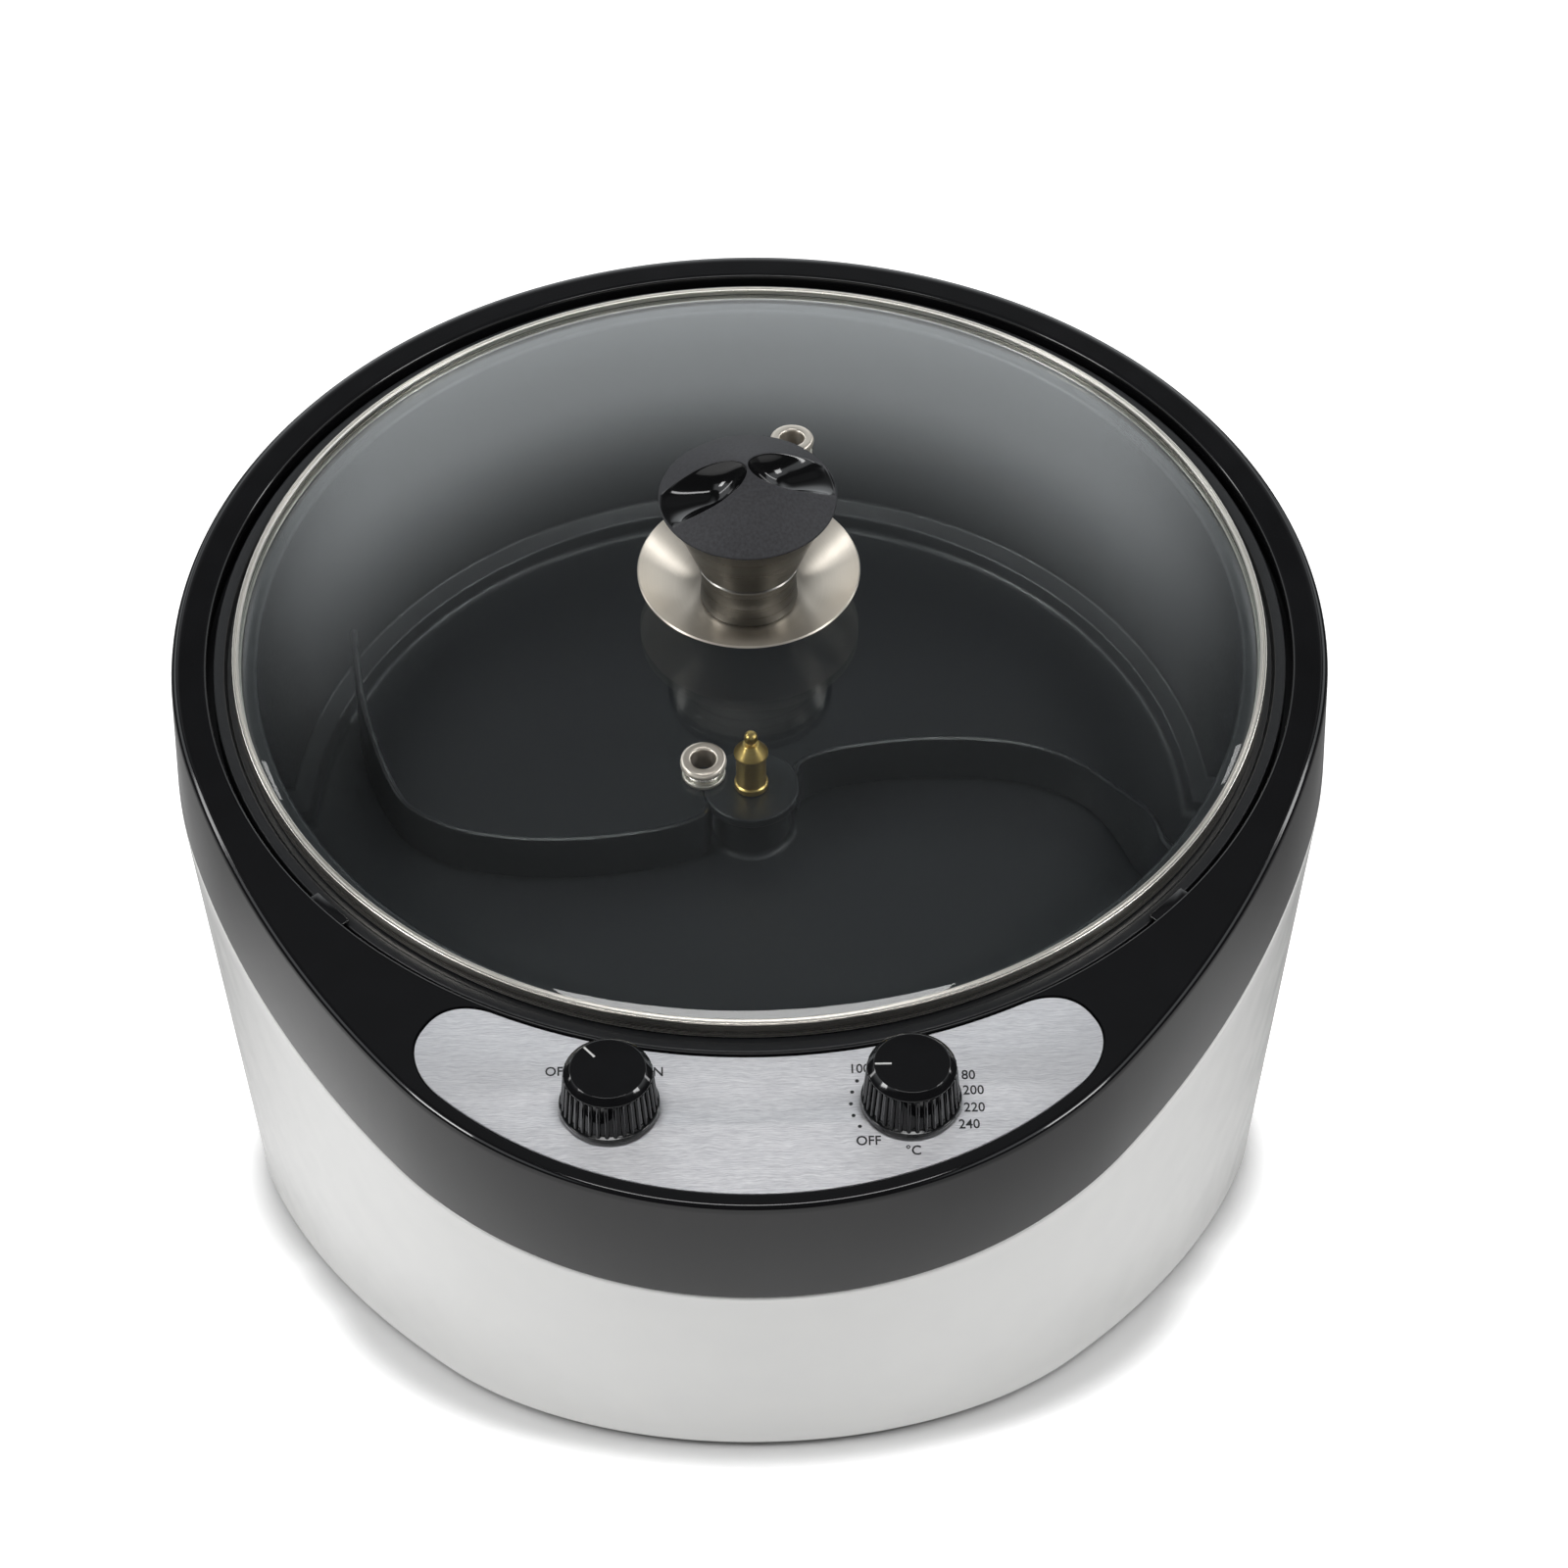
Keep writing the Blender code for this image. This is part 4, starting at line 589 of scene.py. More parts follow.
def emboss(tree, shader, height, depth_mm, strength=1.0):
    """Relief of a depth on a shader's surface."""
    inputs = {"Height": height, "Distance": depth_mm / 1000, "Strength": strength}
    wire(tree, (add_node(tree, "ShaderNodeBump", inputs), "Normal"), shader, "Normal")


def vary(tree, shader, grain, colours=None, roughness=None, bump_mm=0):
    """Let a grain vary the colour between two hex values, the roughness between two values and the relief."""
    if colours:
        wire(tree, toned(tree, grain, *map(linear, colours)), shader, "Base Color")
    if roughness:
        wire(tree, graded(tree, grain, (0.3, 0.7), roughness), shader, "Roughness")
    if bump_mm:
        emboss(tree, shader, grain, bump_mm)


def start_finish(name, colour, roughness, **inputs):
    """Material with a Principled shader, and its Object coordinates. Other inputs go by their own names."""
    made = bpy.data.materials.new(name)
    made.use_nodes = True
    tree = made.node_tree
    shader = tree.nodes["Principled BSDF"]
    shader.inputs["Base Color"].default_value = linear(colour)
    shader.inputs["Roughness"].default_value = roughness
    for key, value in inputs.items():
        shader.inputs[key.replace("_", " ")].default_value = value
    return made, tree, shader, (add_node(tree, "ShaderNodeTexCoord"), "Object")


def make_grained(name, colours, roughness, grain_mm, bump_mm, detail=4.0, **inputs):
    """Cast, coated, sintered or blasted surface with an even fine grain of a size in millimetres."""
    made, tree, shader, coords = start_finish(name, colours[0], roughness[0], **inputs)
    grain = noise(tree, coords, 1000 / grain_mm, Detail=detail, Roughness=0.6)
    vary(tree, shader, grain, colours, roughness, bump_mm)
    return made


def make_gloss_abs(name, colours, roughness, grain_mm=14, bump_mm=0.004):
    """ABS moulded in a polished tool: a deep gloss with the faint long wave of a moulded wall."""
    return make_grained(name, colours, roughness, grain_mm, bump_mm, detail=1.0, IOR=1.5)


def stretch_across(tree, shader, line):
    """Stretch the highlights across grooves that run along the vector in line."""
    surface = add_node(tree, "ShaderNodeNewGeometry")
    wire(tree, vector_of(tree, "CROSS_PRODUCT", (surface, "Normal"), line), shader, "Tangent")


def make_turned_metal(name, colours, roughness, line_mm, relief_mm, stretch=0.7):
    """Metal turned or spun on the pot's axis: fine rings about it stretch each highlight into a fan."""
    made, tree, shader, coords = start_finish(name, colours[0], roughness[0], Metallic=1.0, Anisotropic=stretch)
    home = deck.inverted()
    turn = {"Vector": coords, "Rotation": tuple(home.to_euler()), "Location": tuple(home.translation)}
    seat = add_node(tree, "ShaderNodeMapping", turn)
    parts = add_node(tree, "ShaderNodeSeparateXYZ", {"Vector": (seat, "Vector")})
    plan = add_node(tree, "ShaderNodeCombineXYZ", {"X": (parts, "X"), "Y": (parts, "Y")})
    radius = vector_of(tree, "LENGTH", (plan, "Vector"), output="Value")
    line = add_node(tree, "ShaderNodeCombineXYZ", {"X": radius, "Z": (parts, "Z")})
    rings = noise(tree, (line, "Vector"), 1000 / line_mm, Detail=2.0)
    vary(tree, shader, rings, colours, roughness, relief_mm)
    arm = vector_of(tree, "SUBTRACT", coords, tuple(deck.translation))
    along = vector_of(tree, "CROSS_PRODUCT", arm, tuple(deck.to_3x3() @ Vector((0, 0, 1))))
    stretch_across(tree, shader, along)
    return made


black_abs = make_gloss_abs("gloss_black_abs", ("#0d0d0e", "#111113"), (0.06, 0.1))
white_abs = make_gloss_abs("gloss_white_abs", ("#ebebea", "#efefed"), (0.14, 0.2), bump_mm=0.001)
knob_abs = make_gloss_abs("gloss_black_knob_abs", ("#0b0b0c", "#101012"), (0.05, 0.08), grain_mm=5, bump_mm=0.003)
print_ink = make_gloss_abs("screen_print_ink", ("#1b1b1d", "#262629"), (0.45, 0.55), grain_mm=1.5)
pointer_paint = make_gloss_abs("filled_pointer_paint", ("#c6c6c4", "#d2d2d0"), (0.4, 0.5), grain_mm=1)
inner_plastic = make_gloss_abs("moulded_black_polyamide", ("#1d1d1e", "#252527"), (0.42, 0.52), 2, 0.02)
# Non-stick coating sprayed on aluminium: satin, with a fine orange peel
pot_coating = make_grained("sprayed_nonstick_coating", ("#18191b", "#1f2022"), (0.3, 0.38), 1.2, 0.004)
# Rubber moulded matt
foot_rubber = make_grained("moulded_rubber", ("#161616", "#202020"), (0.75, 0.85), 0.8, 0.04)
# Silicone cut from sheet
seal_silicone = make_grained("cut_silicone", ("#242425", "#2e2e2f"), (0.5, 0.6), 1.5, 0.02)
# Zinc-plated steel: a cool grey with the cloudy patches of the plating
zinc_sheet = make_grained("zinc_plated_steel", ("#9c9fa3", "#b4b7ba"), (0.3, 0.46), 6, 0.01, Metallic=1.0)
# Sheathed element: steel darkened by heat
element_steel = make_grained("heat_darkened_steel", ("#3a3734", "#524b45"), (0.4, 0.55), 3, 0.02, Metallic=1.0)
# Drawn copper: warm, with a soft sheen
copper = make_grained("drawn_copper", ("#a8613e", "#bd7350"), (0.28, 0.4), 4, 0.01, Metallic=1.0)
# Steatite, pressed and fired: off-white and dry
ceramic = make_grained("fired_steatite", ("#d6d2c6", "#e0ddd2"), (0.55, 0.7), 1.2, 0.03)

# Spun and turned metals, from the broad satin of the saucer to the bright rim and the dark handle
satin_steel = make_turned_metal("spun_satin_stainless", ("#cfc7bb", "#dcd5ca"), (0.34, 0.42), 0.6, 0.002)
rim_steel = make_turned_metal("rolled_bright_stainless", ("#e0dbd2", "#ece8e0"), (0.24, 0.32), 0.8, 0.001, 0.3)
smoked_steel = make_turned_metal("turned_dark_steel", ("#7f7d79", "#93918c"), (0.26, 0.34), 0.5, 0.002, 0.5)
brass = make_turned_metal("turned_brass", ("#d9b65f", "#efd08a"), (0.3, 0.38), 0.4, 0.002, 0.4)
shaft_steel = make_turned_metal("ground_steel", ("#8d8d8c", "#a2a2a0"), (0.2, 0.28), 0.3, 0.002, 0.4)


def make_cap_abs():
    """ABS with blasted, speckled matt facets and finger scoops left polished, by the cap's own attribute."""
    made, tree, shader, coords = start_finish("blasted_and_polished_abs", "#2a2a2d", 0.5, IOR=1.5)
    speckle = noise(tree, coords, 1000 / 0.8, Detail=2.0)
    matt = toned(tree, speckle, linear("#0a0a0c"), linear("#36363b"))
    polish = (add_node(tree, "ShaderNodeAttribute", attribute_name="polish"), "Fac")
    wire(tree, toned(tree, polish, matt, linear("#0c0c0d")), shader, "Base Color")
    wire(tree, graded(tree, polish, (0.0, 1.0), (0.62, 0.09)), shader, "Roughness")
    emboss(tree, shader, speckle, 0.02, graded(tree, polish, (0.0, 1.0), (0.3, 0.0)))
    return made


def make_brushed_panel():
    """Aluminium sheet brushed left to right: short streaks, slightly wrinkled, that soften its reflections."""
    made, tree, shader, coords = start_finish("brushed_aluminium", "#dadade", 0.5, Metallic=1.0, Anisotropic=0.75)
    flat_on = {"Vector": coords, "Rotation": (-deck_tilt, 0, 0)}
    level = (add_node(tree, "ShaderNodeMapping", flat_on), "Vector")
    wander = (noise(tree, level, 160.0, Detail=2.0)[0], "Color")
    sway = vector_of(tree, "MULTIPLY_ADD", wander, (0.0, 0.0022, 0.0), level)
    streaks = []
    for length_mm, width_mm in ((9, 0.35), (2.5, 0.2)):
        drawn_out = {"Vector": sway, "Scale": (1000 / length_mm, 1000 / width_mm, 1)}
        stretch = add_node(tree, "ShaderNodeMapping", drawn_out)
        streaks.append(noise(tree, (stretch, "Vector"), 1.0, Detail=3.0))
    grain = reckoned(tree, "ADD", *streaks)
    tone = graded(tree, grain, (0.7, 1.3), (0.0, 1.0))
    wire(tree, toned(tree, tone, linear("#d0d0d4"), linear("#f3f3f5")), shader, "Base Color")
    wire(tree, graded(tree, tone, (0.0, 1.0), (0.58, 0.48)), shader, "Roughness")
    emboss(tree, shader, grain, 0.02)
    stretch_across(tree, shader, (1.0, 0.0, 0.0))
    return made


def make_glass():
    """Tempered soda-lime glass, pressed to a shallow dome: clear, with the faintest haze that wiping leaves."""
    made, tree, shader, coords = start_finish(
        "tempered_soda_lime_glass", "#f1f6f6", 0.0, IOR=1.5, Transmission_Weight=1.0
    )
    vary(tree, shader, noise(tree, coords, 1000 / 40, Detail=1.0, Roughness=0.6), roughness=(0.0, 0.012))
    return made


panel_aluminium = make_brushed_panel()
lid_glass_finish = make_glass()
cap_abs = make_cap_abs()


# Cover, panel and body
def neck_lines():
    """Outlines of the holes for the knobs' necks."""
    return [circle(neck_hole_radius, 48, (side * control_spread, control_back)) for side in (-1, 1)]


def make_cover():
    outside = rounded(
        [
            (-edge_round - 0.0009, 0, 0), (0, 0, edge_round), (skirt_flare, -skirt_depth, 0.0006),
            (skirt_flare - cover_wall, -skirt_depth, 0.0003), (-cover_wall, -deck_thickness, 0),
        ],
        closed=False,
    )
    recess_side = rounded(
        [
            (recess_radius + cover_wall, -deck_thickness, 0),
            (recess_radius + cover_wall, ledge_bottom, 0), (ledge_inner_radius, ledge_bottom, 0.0005),
            (ledge_inner_radius, ledge_top, 0.0008), (recess_radius, ledge_top, 0),
            (recess_radius, 0, recess_edge_round), (recess_radius + 0.0014, 0, 0),
        ],
        closed=False,
    )
    rings = [oval_ring(-out, level) for out, level in outside]
    rings += [round_ring(radius, level) for radius, level in recess_side]
    pocket_depth = panel_thickness - panel_top + fit_gap
    pocket = flat(panel_line(panel_border), 2 * pocket_depth)
    pocket.transform(shift(z=-pocket_depth))
    cuts = [pocket]
    for line in neck_lines():
        hole = flat(line, 4 * deck_thickness)
        hole.transform(shift(z=-2 * deck_thickness))
        cuts.append(hole)
    sketch = combined(skin(rings), cuts)
    lugs = []
    for turn in lug_turns:
        lug = block(lug_size, (recess_radius - lug_size[0] / 2 + 0.0004, 0, lug_level), 0.0003)
        lug.transform(spin(turn))
        lugs.append(lug)
    sketch = combined(sketch, lugs, "UNION")
    add_piece("cover", sketch, deck, "housing", black_abs, ["top_cover"])


def make_panel():
    sheet = bevelled(flat(panel_line(0), panel_thickness, neck_lines()), 0.0002)
    place = deck @ shift(z=panel_top - panel_thickness)
    stands_for = ["control_panel_plate"]
    add_piece("control_panel", sheet, place, "housing", panel_aluminium, stands_for)


def make_body():
    tongue_inset = cover_wall - skirt_flare * (skirt_depth - 0.006) / skirt_depth + fit_gap
    tongue_inner = tongue_inset + 0.002
    shoulder = body_top - 0.0024

    def at_deck(inset, level):
        return [deck @ point for point in oval_ring(inset, level)]

    rings = [at_deck(tongue_inset, 0.006 - skirt_depth), at_deck(tongue_inset, body_top)]
    for share in shares(8):
        turn = pi / 2 * share
        inset = bead_round * (1 - sin(turn)) - skirt_flare
        rings.append(at_deck(inset, body_top - bead_round * (1 - cos(turn))))
    top_ring = rings[-1]
    foot = foot_ring(0, foot_rim_bottom + foot_edge_round)
    for share in shares(16, 1):
        rings.append([high.lerp(low, share) for high, low in zip(top_ring, foot)])
    for share in shares(6, 1):
        turn = pi / 2 * share
        height = foot_rim_bottom + foot_edge_round * (1 - sin(turn))
        rings.append(foot_ring(foot_edge_round * (1 - cos(turn)), height))
    rings += [
        foot_ring(foot_rim_width, foot_rim_bottom),
        foot_ring(foot_rim_width, body_bottom),
        foot_ring(lip_width, body_bottom),
        foot_ring(lip_width, lip_top),
        foot_ring(body_wall, lip_top),
        at_deck(body_wall - skirt_flare, shoulder - bead_round - body_wall),
        at_deck(tongue_inner, shoulder),
        at_deck(tongue_inner, 0.006 - skirt_depth),
    ]
    wall = inlet_frame()
    width, height, thickness = inlet_flange
    depth = inlet_sink + thickness + fit_gap
    boss = block((width + 0.0084, 0.0056, height + 0.0084), (0, -0.0048, 0), 0.0008)
    pocket = block((width + 2 * fit_gap, 2 * depth, height + 2 * fit_gap), (0, 0, 0))
    passage = block((inlet_body[0] + 2 * fit_gap, 0.03, inlet_body[1] + 2 * fit_gap), (0, 0, 0))
    for tool in (boss, pocket, passage):
        tool.transform(wall)
    shell = combined(combined(skin(rings), [boss], "UNION"), [pocket, passage])
    add_piece("body", shell, Matrix.Identity(4), "housing", white_abs, ["body_shell"])


def inlet_frame():
    """Place of the rear inlet: its origin on the wall's outer face, its Y straight out."""
    return Matrix.Translation(inlet_place) @ spin(inlet_lean, "X")


def make_inlet():
    face_on = spin(pi / 2, "X")

    def slab(width, height, roundings, thickness, front):
        corners = [(-1, 1), (-1, -1), (1, -1), (1, 1)]
        line = rounded([(x * width / 2, y * height / 2, r) for (x, y), r in zip(corners, roundings)])
        form = flat(line, thickness)
        form.transform(shift(y=front) @ face_on)
        return form

    width, height, thickness = inlet_flange
    flange = bevelled(slab(width, height, (0.0015,) * 4, thickness, -inlet_sink), 0.0003)
    core = slab(*inlet_body[:2], (0.0015,) * 4, inlet_body[2], -inlet_sink - thickness / 2)
    socket = slab(*inlet_socket[:2], (0.0008, 0.003, 0.003, 0.0008), inlet_socket[2] + 0.001, 0.001 - inlet_sink)
    moulding = combined(combined(flange, [core], "UNION"), [socket])
    add_piece("inlet_moulding", moulding, inlet_frame(), "housing", inner_plastic, ["power_inlet"])
    floor = -inlet_sink - inlet_socket[2]
    for name, (x, z) in inlet_pin_places.items():
        pin = block(inlet_pin, (x, floor + inlet_pin[1] / 2, z), 0.0006)
        stands_for = [f"inlet_pin_{name}"]
        add_piece(f"inlet_blade_{name}", pin, inlet_frame(), "housing", shaft_steel, stands_for)


# Underside
def make_plate():
    """Foot plate with its row of vent slots, cut by a node tree's slot forms."""
    sizes = {
        "Count": slot_count,
        "Pitch": (0, slot_pitch, 0),
        "Start": (0, -slot_pitch * (slot_count - 1) / 2, 0),
        "Slot": (*slot_size, 3 * plate_thickness),
    }
    tree, given = start_growth("vent_slots", sizes)
    steps = {"Count": given["Count"], "Start Location": given["Start"], "Offset": given["Pitch"]}
    row = add_node(tree, "GeometryNodeMeshLine", steps)
    form = add_node(tree, "GeometryNodeMeshCube", {"Size": given["Slot"]})
    slots = grown(tree, sizes, zinc_sheet, Points=(row, "Mesh"), Instance=(form, "Mesh"))
    upright = [edge for edge in slots.edges if abs(edge.verts[0].co.z - edge.verts[1].co.z) > plate_thickness]
    bevel(slots, upright, slot_size[1] / 2 - 0.00005, 8)
    slots.transform(shift(y=deck_place.y + slots_back))
    sheet = bevelled(flat(foot_line(plate_inset), plate_thickness), 0.0003)
    sheet = combined(sheet, [slots])
    add_piece("foot_plate", sheet, shift(z=plate_level), "housing", zinc_sheet, ["base_plate"])


def make_feet():
    for name in ("front_left", "front_right", "rear_left", "rear_right"):
        low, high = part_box(f"foot_{name}")
        place = shift((low[0] + high[0]) / 2, (low[1] + high[1]) / 2)
        foot = turned(
            [
                (foot_radius, foot_height, 0.0004), (foot_radius - 0.0005, 0, 0.0008),
                (0.0038, 0, 0.0004), (0.0038, 0.0019, 0.0002), (0.0018, 0.0019, 0),
                (0.0018, foot_height, 0),
            ],
            small_steps,
        )
        add_piece(f"rubber_foot_{name}", foot, place, "housing", foot_rubber, [f"foot_{name}"])
        head_corners = [
            (0, 0.0016, 0), (0.0015, 0.0016, 0), (0.0032, 0.0016, 0.0003), (0.003, 0.0004, 0.0006),
            (0, 0.0003, 0),
        ]
        cross = [block((*size, 0.0016), (0, 0, 0.0002)) for size in ((0.0032, 0.0006), (0.0006, 0.0032))]
        head = combined(turned(head_corners, 48, closed=False), cross)
        stands_for = [f"foot_screw_{name}"]
        add_piece(f"foot_screw_head_{name}", head, place, "housing", zinc_sheet, stands_for)


# Pot and stirrer
def make_pot():
    pot = turned(
        [
            (pot_seat_radius + 0.0009, pot_rim_level, 0.0005), (pot_rim_radius, pot_rim_level, 0.0006),
            (pot_rim_radius, pot_flange_under, 0.0005), (pot_mouth_outside, pot_flange_under, 0.0015),
            (0.1312, pot_step_under, 0.001), (0.1258, pot_step_under - 0.0016, 0.001),
            (0.1258, pot_under_level, 0.0025), (hub_hole_radius, pot_under_level, 0),
            (hub_hole_radius, hub_boss_level, 0.0003), (hub_boss_radius, hub_boss_level, 0.0015),
            (hub_boss_radius, pot_floor_level, 0.0025), (0.1226, pot_floor_level, 0.0025),
            (0.1242, pot_step_level - 0.0016, 0.0012), (0.1296, pot_step_level, 0.0012),
            (pot_mouth_radius, pot_seat_level, 0.0012), (pot_seat_radius, pot_seat_level, 0.0004),
        ]
    )
    add_piece("pot", pot, deck, "housing", pot_coating, ["roasting_pot"])


def smooth_path(route, steps):
    """Evenly stepped points on a Catmull-Rom curve through the route's points."""
    knots = [2 * route[0] - route[1], *route, 2 * route[-1] - route[-2]]
    spans = len(route) - 1
    points = []
    for step in range(steps + 1):
        span = min(int(spans * step / steps), spans - 1)
        t = spans * step / steps - span
        a, b, c, d = knots[span : span + 4]
        points.append((2 * b + (c - a) * t + (2 * a - 5 * b + 4 * c - d) * t**2 + (3 * b - a - 3 * c + d) * t**3) / 2)
    return points


def make_stirrer():
    route_shares = (
        (0.12, 0.085), (0.215, 0.123), (0.398, 0.147), (0.572, 0.138), (0.713, 0.094), (0.817, 0.004),
        (0.895, -0.178), (0.924, -0.365),
    )
    low_top = hub_plate_level + hub_plate_thickness - 0.0006
    arms = []
    for turn in (1, -1):
        route = [Vector((0.894, 0.3665)) * hub_plate_radius * turn]
        route += [Vector(share) * blade_reach * turn for share in route_shares]
        path = smooth_path(route, 90)
        rings = []
        for index, point in enumerate(path):
            along = (path[min(index + 1, len(path) - 1)] - path[max(index - 1, 0)]).normalized()
            across = Vector((-along.y, along.x))
            rise = max(0, index / (len(path) - 1) - blade_rise_start) / (1 - blade_rise_start)
            top = low_top + blade_rise * rise**2 * (3 - 2 * rise)
            half = blade_thickness / 2
            ring = [Vector((*(point + across * half), blade_bottom)), Vector((*(point - across * half), blade_bottom))]
            for share in shares(4):
                angle = pi * share
                side = point - across * half * cos(angle)
                ring.append(Vector((*side, top - half * (1 - sin(angle)))))
            rings.append(ring)
        arms.append(skin(rings, around=False))
    plate_top = hub_plate_level + hub_plate_thickness
    hub = turned(
        [
            (hub_plate_radius, plate_top, 0.0007), (hub_plate_radius, hub_plate_level, 0.0005),
            (stud_hole_radius, hub_plate_level, 0), (stud_hole_radius, plate_top, 0.0003),
        ],
        small_steps,
    )
    sketch = combined(hub, arms, "UNION")
    add_piece("stirrer", sketch, deck, "stirrer", pot_coating, ["stirrer_blade"])
    foot = nut_level
    bore_top = foot + nut_bore_depth + fit_gap
    nut_top = foot + nut_height
    nut = turned(
        [
            (0, nut_top, 0), (0.0019, nut_top, 0.0014), (0.0019, nut_top - 0.0032, 0.0012),
            (0.0012, nut_top - 0.0034, 0.0001), (0.0012, nut_top - 0.0038, 0.0001),
            (0.0022, nut_top - 0.004, 0.0003), (0.0048, nut_top - 0.0074, 0.0004),
            (0.0048, nut_top - 0.0082, 0.0003), (0.0042, nut_top - 0.0086, 0.0002),
            (0.0042, foot + 0.0022, 0.0003), (0.00475, foot + 0.0018, 0.0003), (0.00475, foot, 0.0003),
            (stud_hole_radius, foot, 0), (stud_hole_radius, bore_top, 0), (0, bore_top, 0),
        ],
        small_steps,
        closed=False,
    )
    add_piece("stirrer_brass_nut", nut, deck, "stirrer", brass, ["stirrer_nut"])


# Lid
def glass_level(radius):
    return glass_edge_level + glass_rise * (1 - (radius / glass_edge_radius) ** 3)


def vent_places():
    slope = atan(3 * glass_rise * vent_offset**2 / glass_edge_radius**3)
    for turn in (vent_angle, vent_angle + pi):
        yield spin(turn) @ shift(x=vent_offset, z=glass_level(vent_offset)) @ spin(slope, "Y")


def make_lid():
    land = glass_edge_radius - glass_edge_round
    radii = [knob_hole_radius + (glass_shoulder - knob_hole_radius) * step / 34 for step in range(34)]
    radii += [glass_shoulder + (land - glass_shoulder) * step / 10 for step in range(11)]
    under = [(radius, glass_level(radius) - glass_thickness) for radius in reversed(radii)]
    top = []
    for radius in radii:
        past = max(0, radius - glass_shoulder) / (land - glass_shoulder)
        top.append((radius, glass_level(radius) - glass_shoulder_drop * past**2))
    round_off = []
    foot = glass_edge_level - glass_thickness
    brim = top[-1][1]
    for step in range(1, 7):
        angle = pi * step / 7
        fall = (brim - foot) / 2 * (1 - cos(angle))
        round_off.append((land + glass_edge_round * sin(angle), brim - fall))
    glass = lathe([Vector(point) for point in top + round_off + under], 200)
    cuts = []
    for place in vent_places():
        hole = bmesh.new()
        both = {"radius1": vent_hole_radius, "radius2": vent_hole_radius}
        bmesh.ops.create_cone(hole, cap_ends=True, segments=48, depth=4 * glass_thickness, **both)
        hole.transform(place)
        cuts.append(hole)
    dome = combined(glass, cuts)
    # The glass casts no shadow, so that the lamps reach into the pot
    dome = add_piece("lid_dome", dome, deck, "lid", lid_glass_finish, ["lid_glass"])
    dome.visible_shadow = False
    lip_inner = lid_radius - 0.0019
    lip_under = glass_edge_level + 0.0004
    lip_top = lip_under + 0.0009
    band = turned(
        [
            (lip_inner, lip_top + 0.00015, 0.0002), (lid_radius - 0.0011, lip_top - 0.0001, 0.0001),
            (lid_radius - 0.00095, lip_top - 0.0004, 0.0001), (lid_radius - 0.0008, lip_top, 0.0002),
            (lid_radius, lip_top, 0.0004), (lid_radius, band_bottom, 0.0008),
            (lid_radius - 0.003, band_bottom, 0.0002),
            (lid_radius - 0.003, band_bottom + 0.0006, 0.0002),
            (lid_radius - band_wall, band_bottom + 0.0006, 0.0003),
            (lid_radius - band_wall, lip_under, 0.0002), (lip_inner, lip_under, 0.0002),
        ],
        200,
    )
    add_piece("lid_rim", band, deck, "lid", rim_steel, ["lid_rim_band"])
    eyelet_corners = [
        (0.00325, 0.0027, 0.0008), (0.0061, 0.0027, 0.0011), (0.0061, 0.0003, 0.0009),
        (0.0043, 0.0003, 0), (0.0043, -0.0036, 0), (0.0057, -0.0036, 0.0004), (0.0057, -0.005, 0.0004),
        (0.00325, -0.005, 0.0003),
    ]
    for name, place in zip(("rear", "front"), vent_places()):
        eyelet = turned(eyelet_corners, 48)
        vent = [f"lid_vent_{name}"]
        add_piece(f"vent_eyelet_{name}", eyelet, deck @ place, "lid", satin_steel, vent)


# Lid knob, from the glass up
def make_lid_knob():
    seat = glass_edge_level + glass_rise + fit_gap
    sheet = 0.0008
    dish = [(0.0134 + 0.0161 * share, seat + 0.0098 * share**1.5) for share in shares(16)]
    profile = [(knob_hole_radius, seat + sheet)]
    profile += [(radius, level + sheet) for radius, level in dish]
    profile.append((dish[-1][0] + 0.00035, dish[-1][1] + sheet / 2))
    profile += dish[::-1] + [(knob_hole_radius, seat)]
    saucer = lathe([Vector(point) for point in profile], 128)
    add_piece("knob_saucer", saucer, deck, "lid", satin_steel, ["lid_knob_saucer"])
    collar_foot = seat + sheet + fit_gap
    collar_top = collar_foot + 0.0136
    collar = turned(
        [
            (0.0128, collar_top, 0.0001), (0.0137, collar_top - 0.0007, 0.0002),
            (0.0126, collar_foot + 0.0076, 0.006), (0.0131, collar_foot, 0.0004),
            (knob_hole_radius, collar_foot, 0), (knob_hole_radius, collar_top, 0),
        ],
        96,
    )
    add_piece("knob_collar", collar, deck, "lid", smoked_steel, ["lid_knob_collar"])
    cone_foot = collar_top + fit_gap
    cone_top = cone_foot + 0.021
    cone = turned(
        [
            (0, cone_top, 0), (0.0224, cone_top, 0.0003), (0.0178, cone_foot + 0.0105, 0.02),
            (0.0139, cone_foot, 0.0003), (knob_hole_radius, cone_foot, 0),
            (knob_hole_radius, cone_foot + 0.0105, 0), (0, cone_foot + 0.0105, 0),
        ],
        96,
        closed=False,
    )
    add_piece("knob_cone", cone, deck, "lid", smoked_steel, ["lid_knob_cone"])
    make_cap(cone_top + fit_gap)


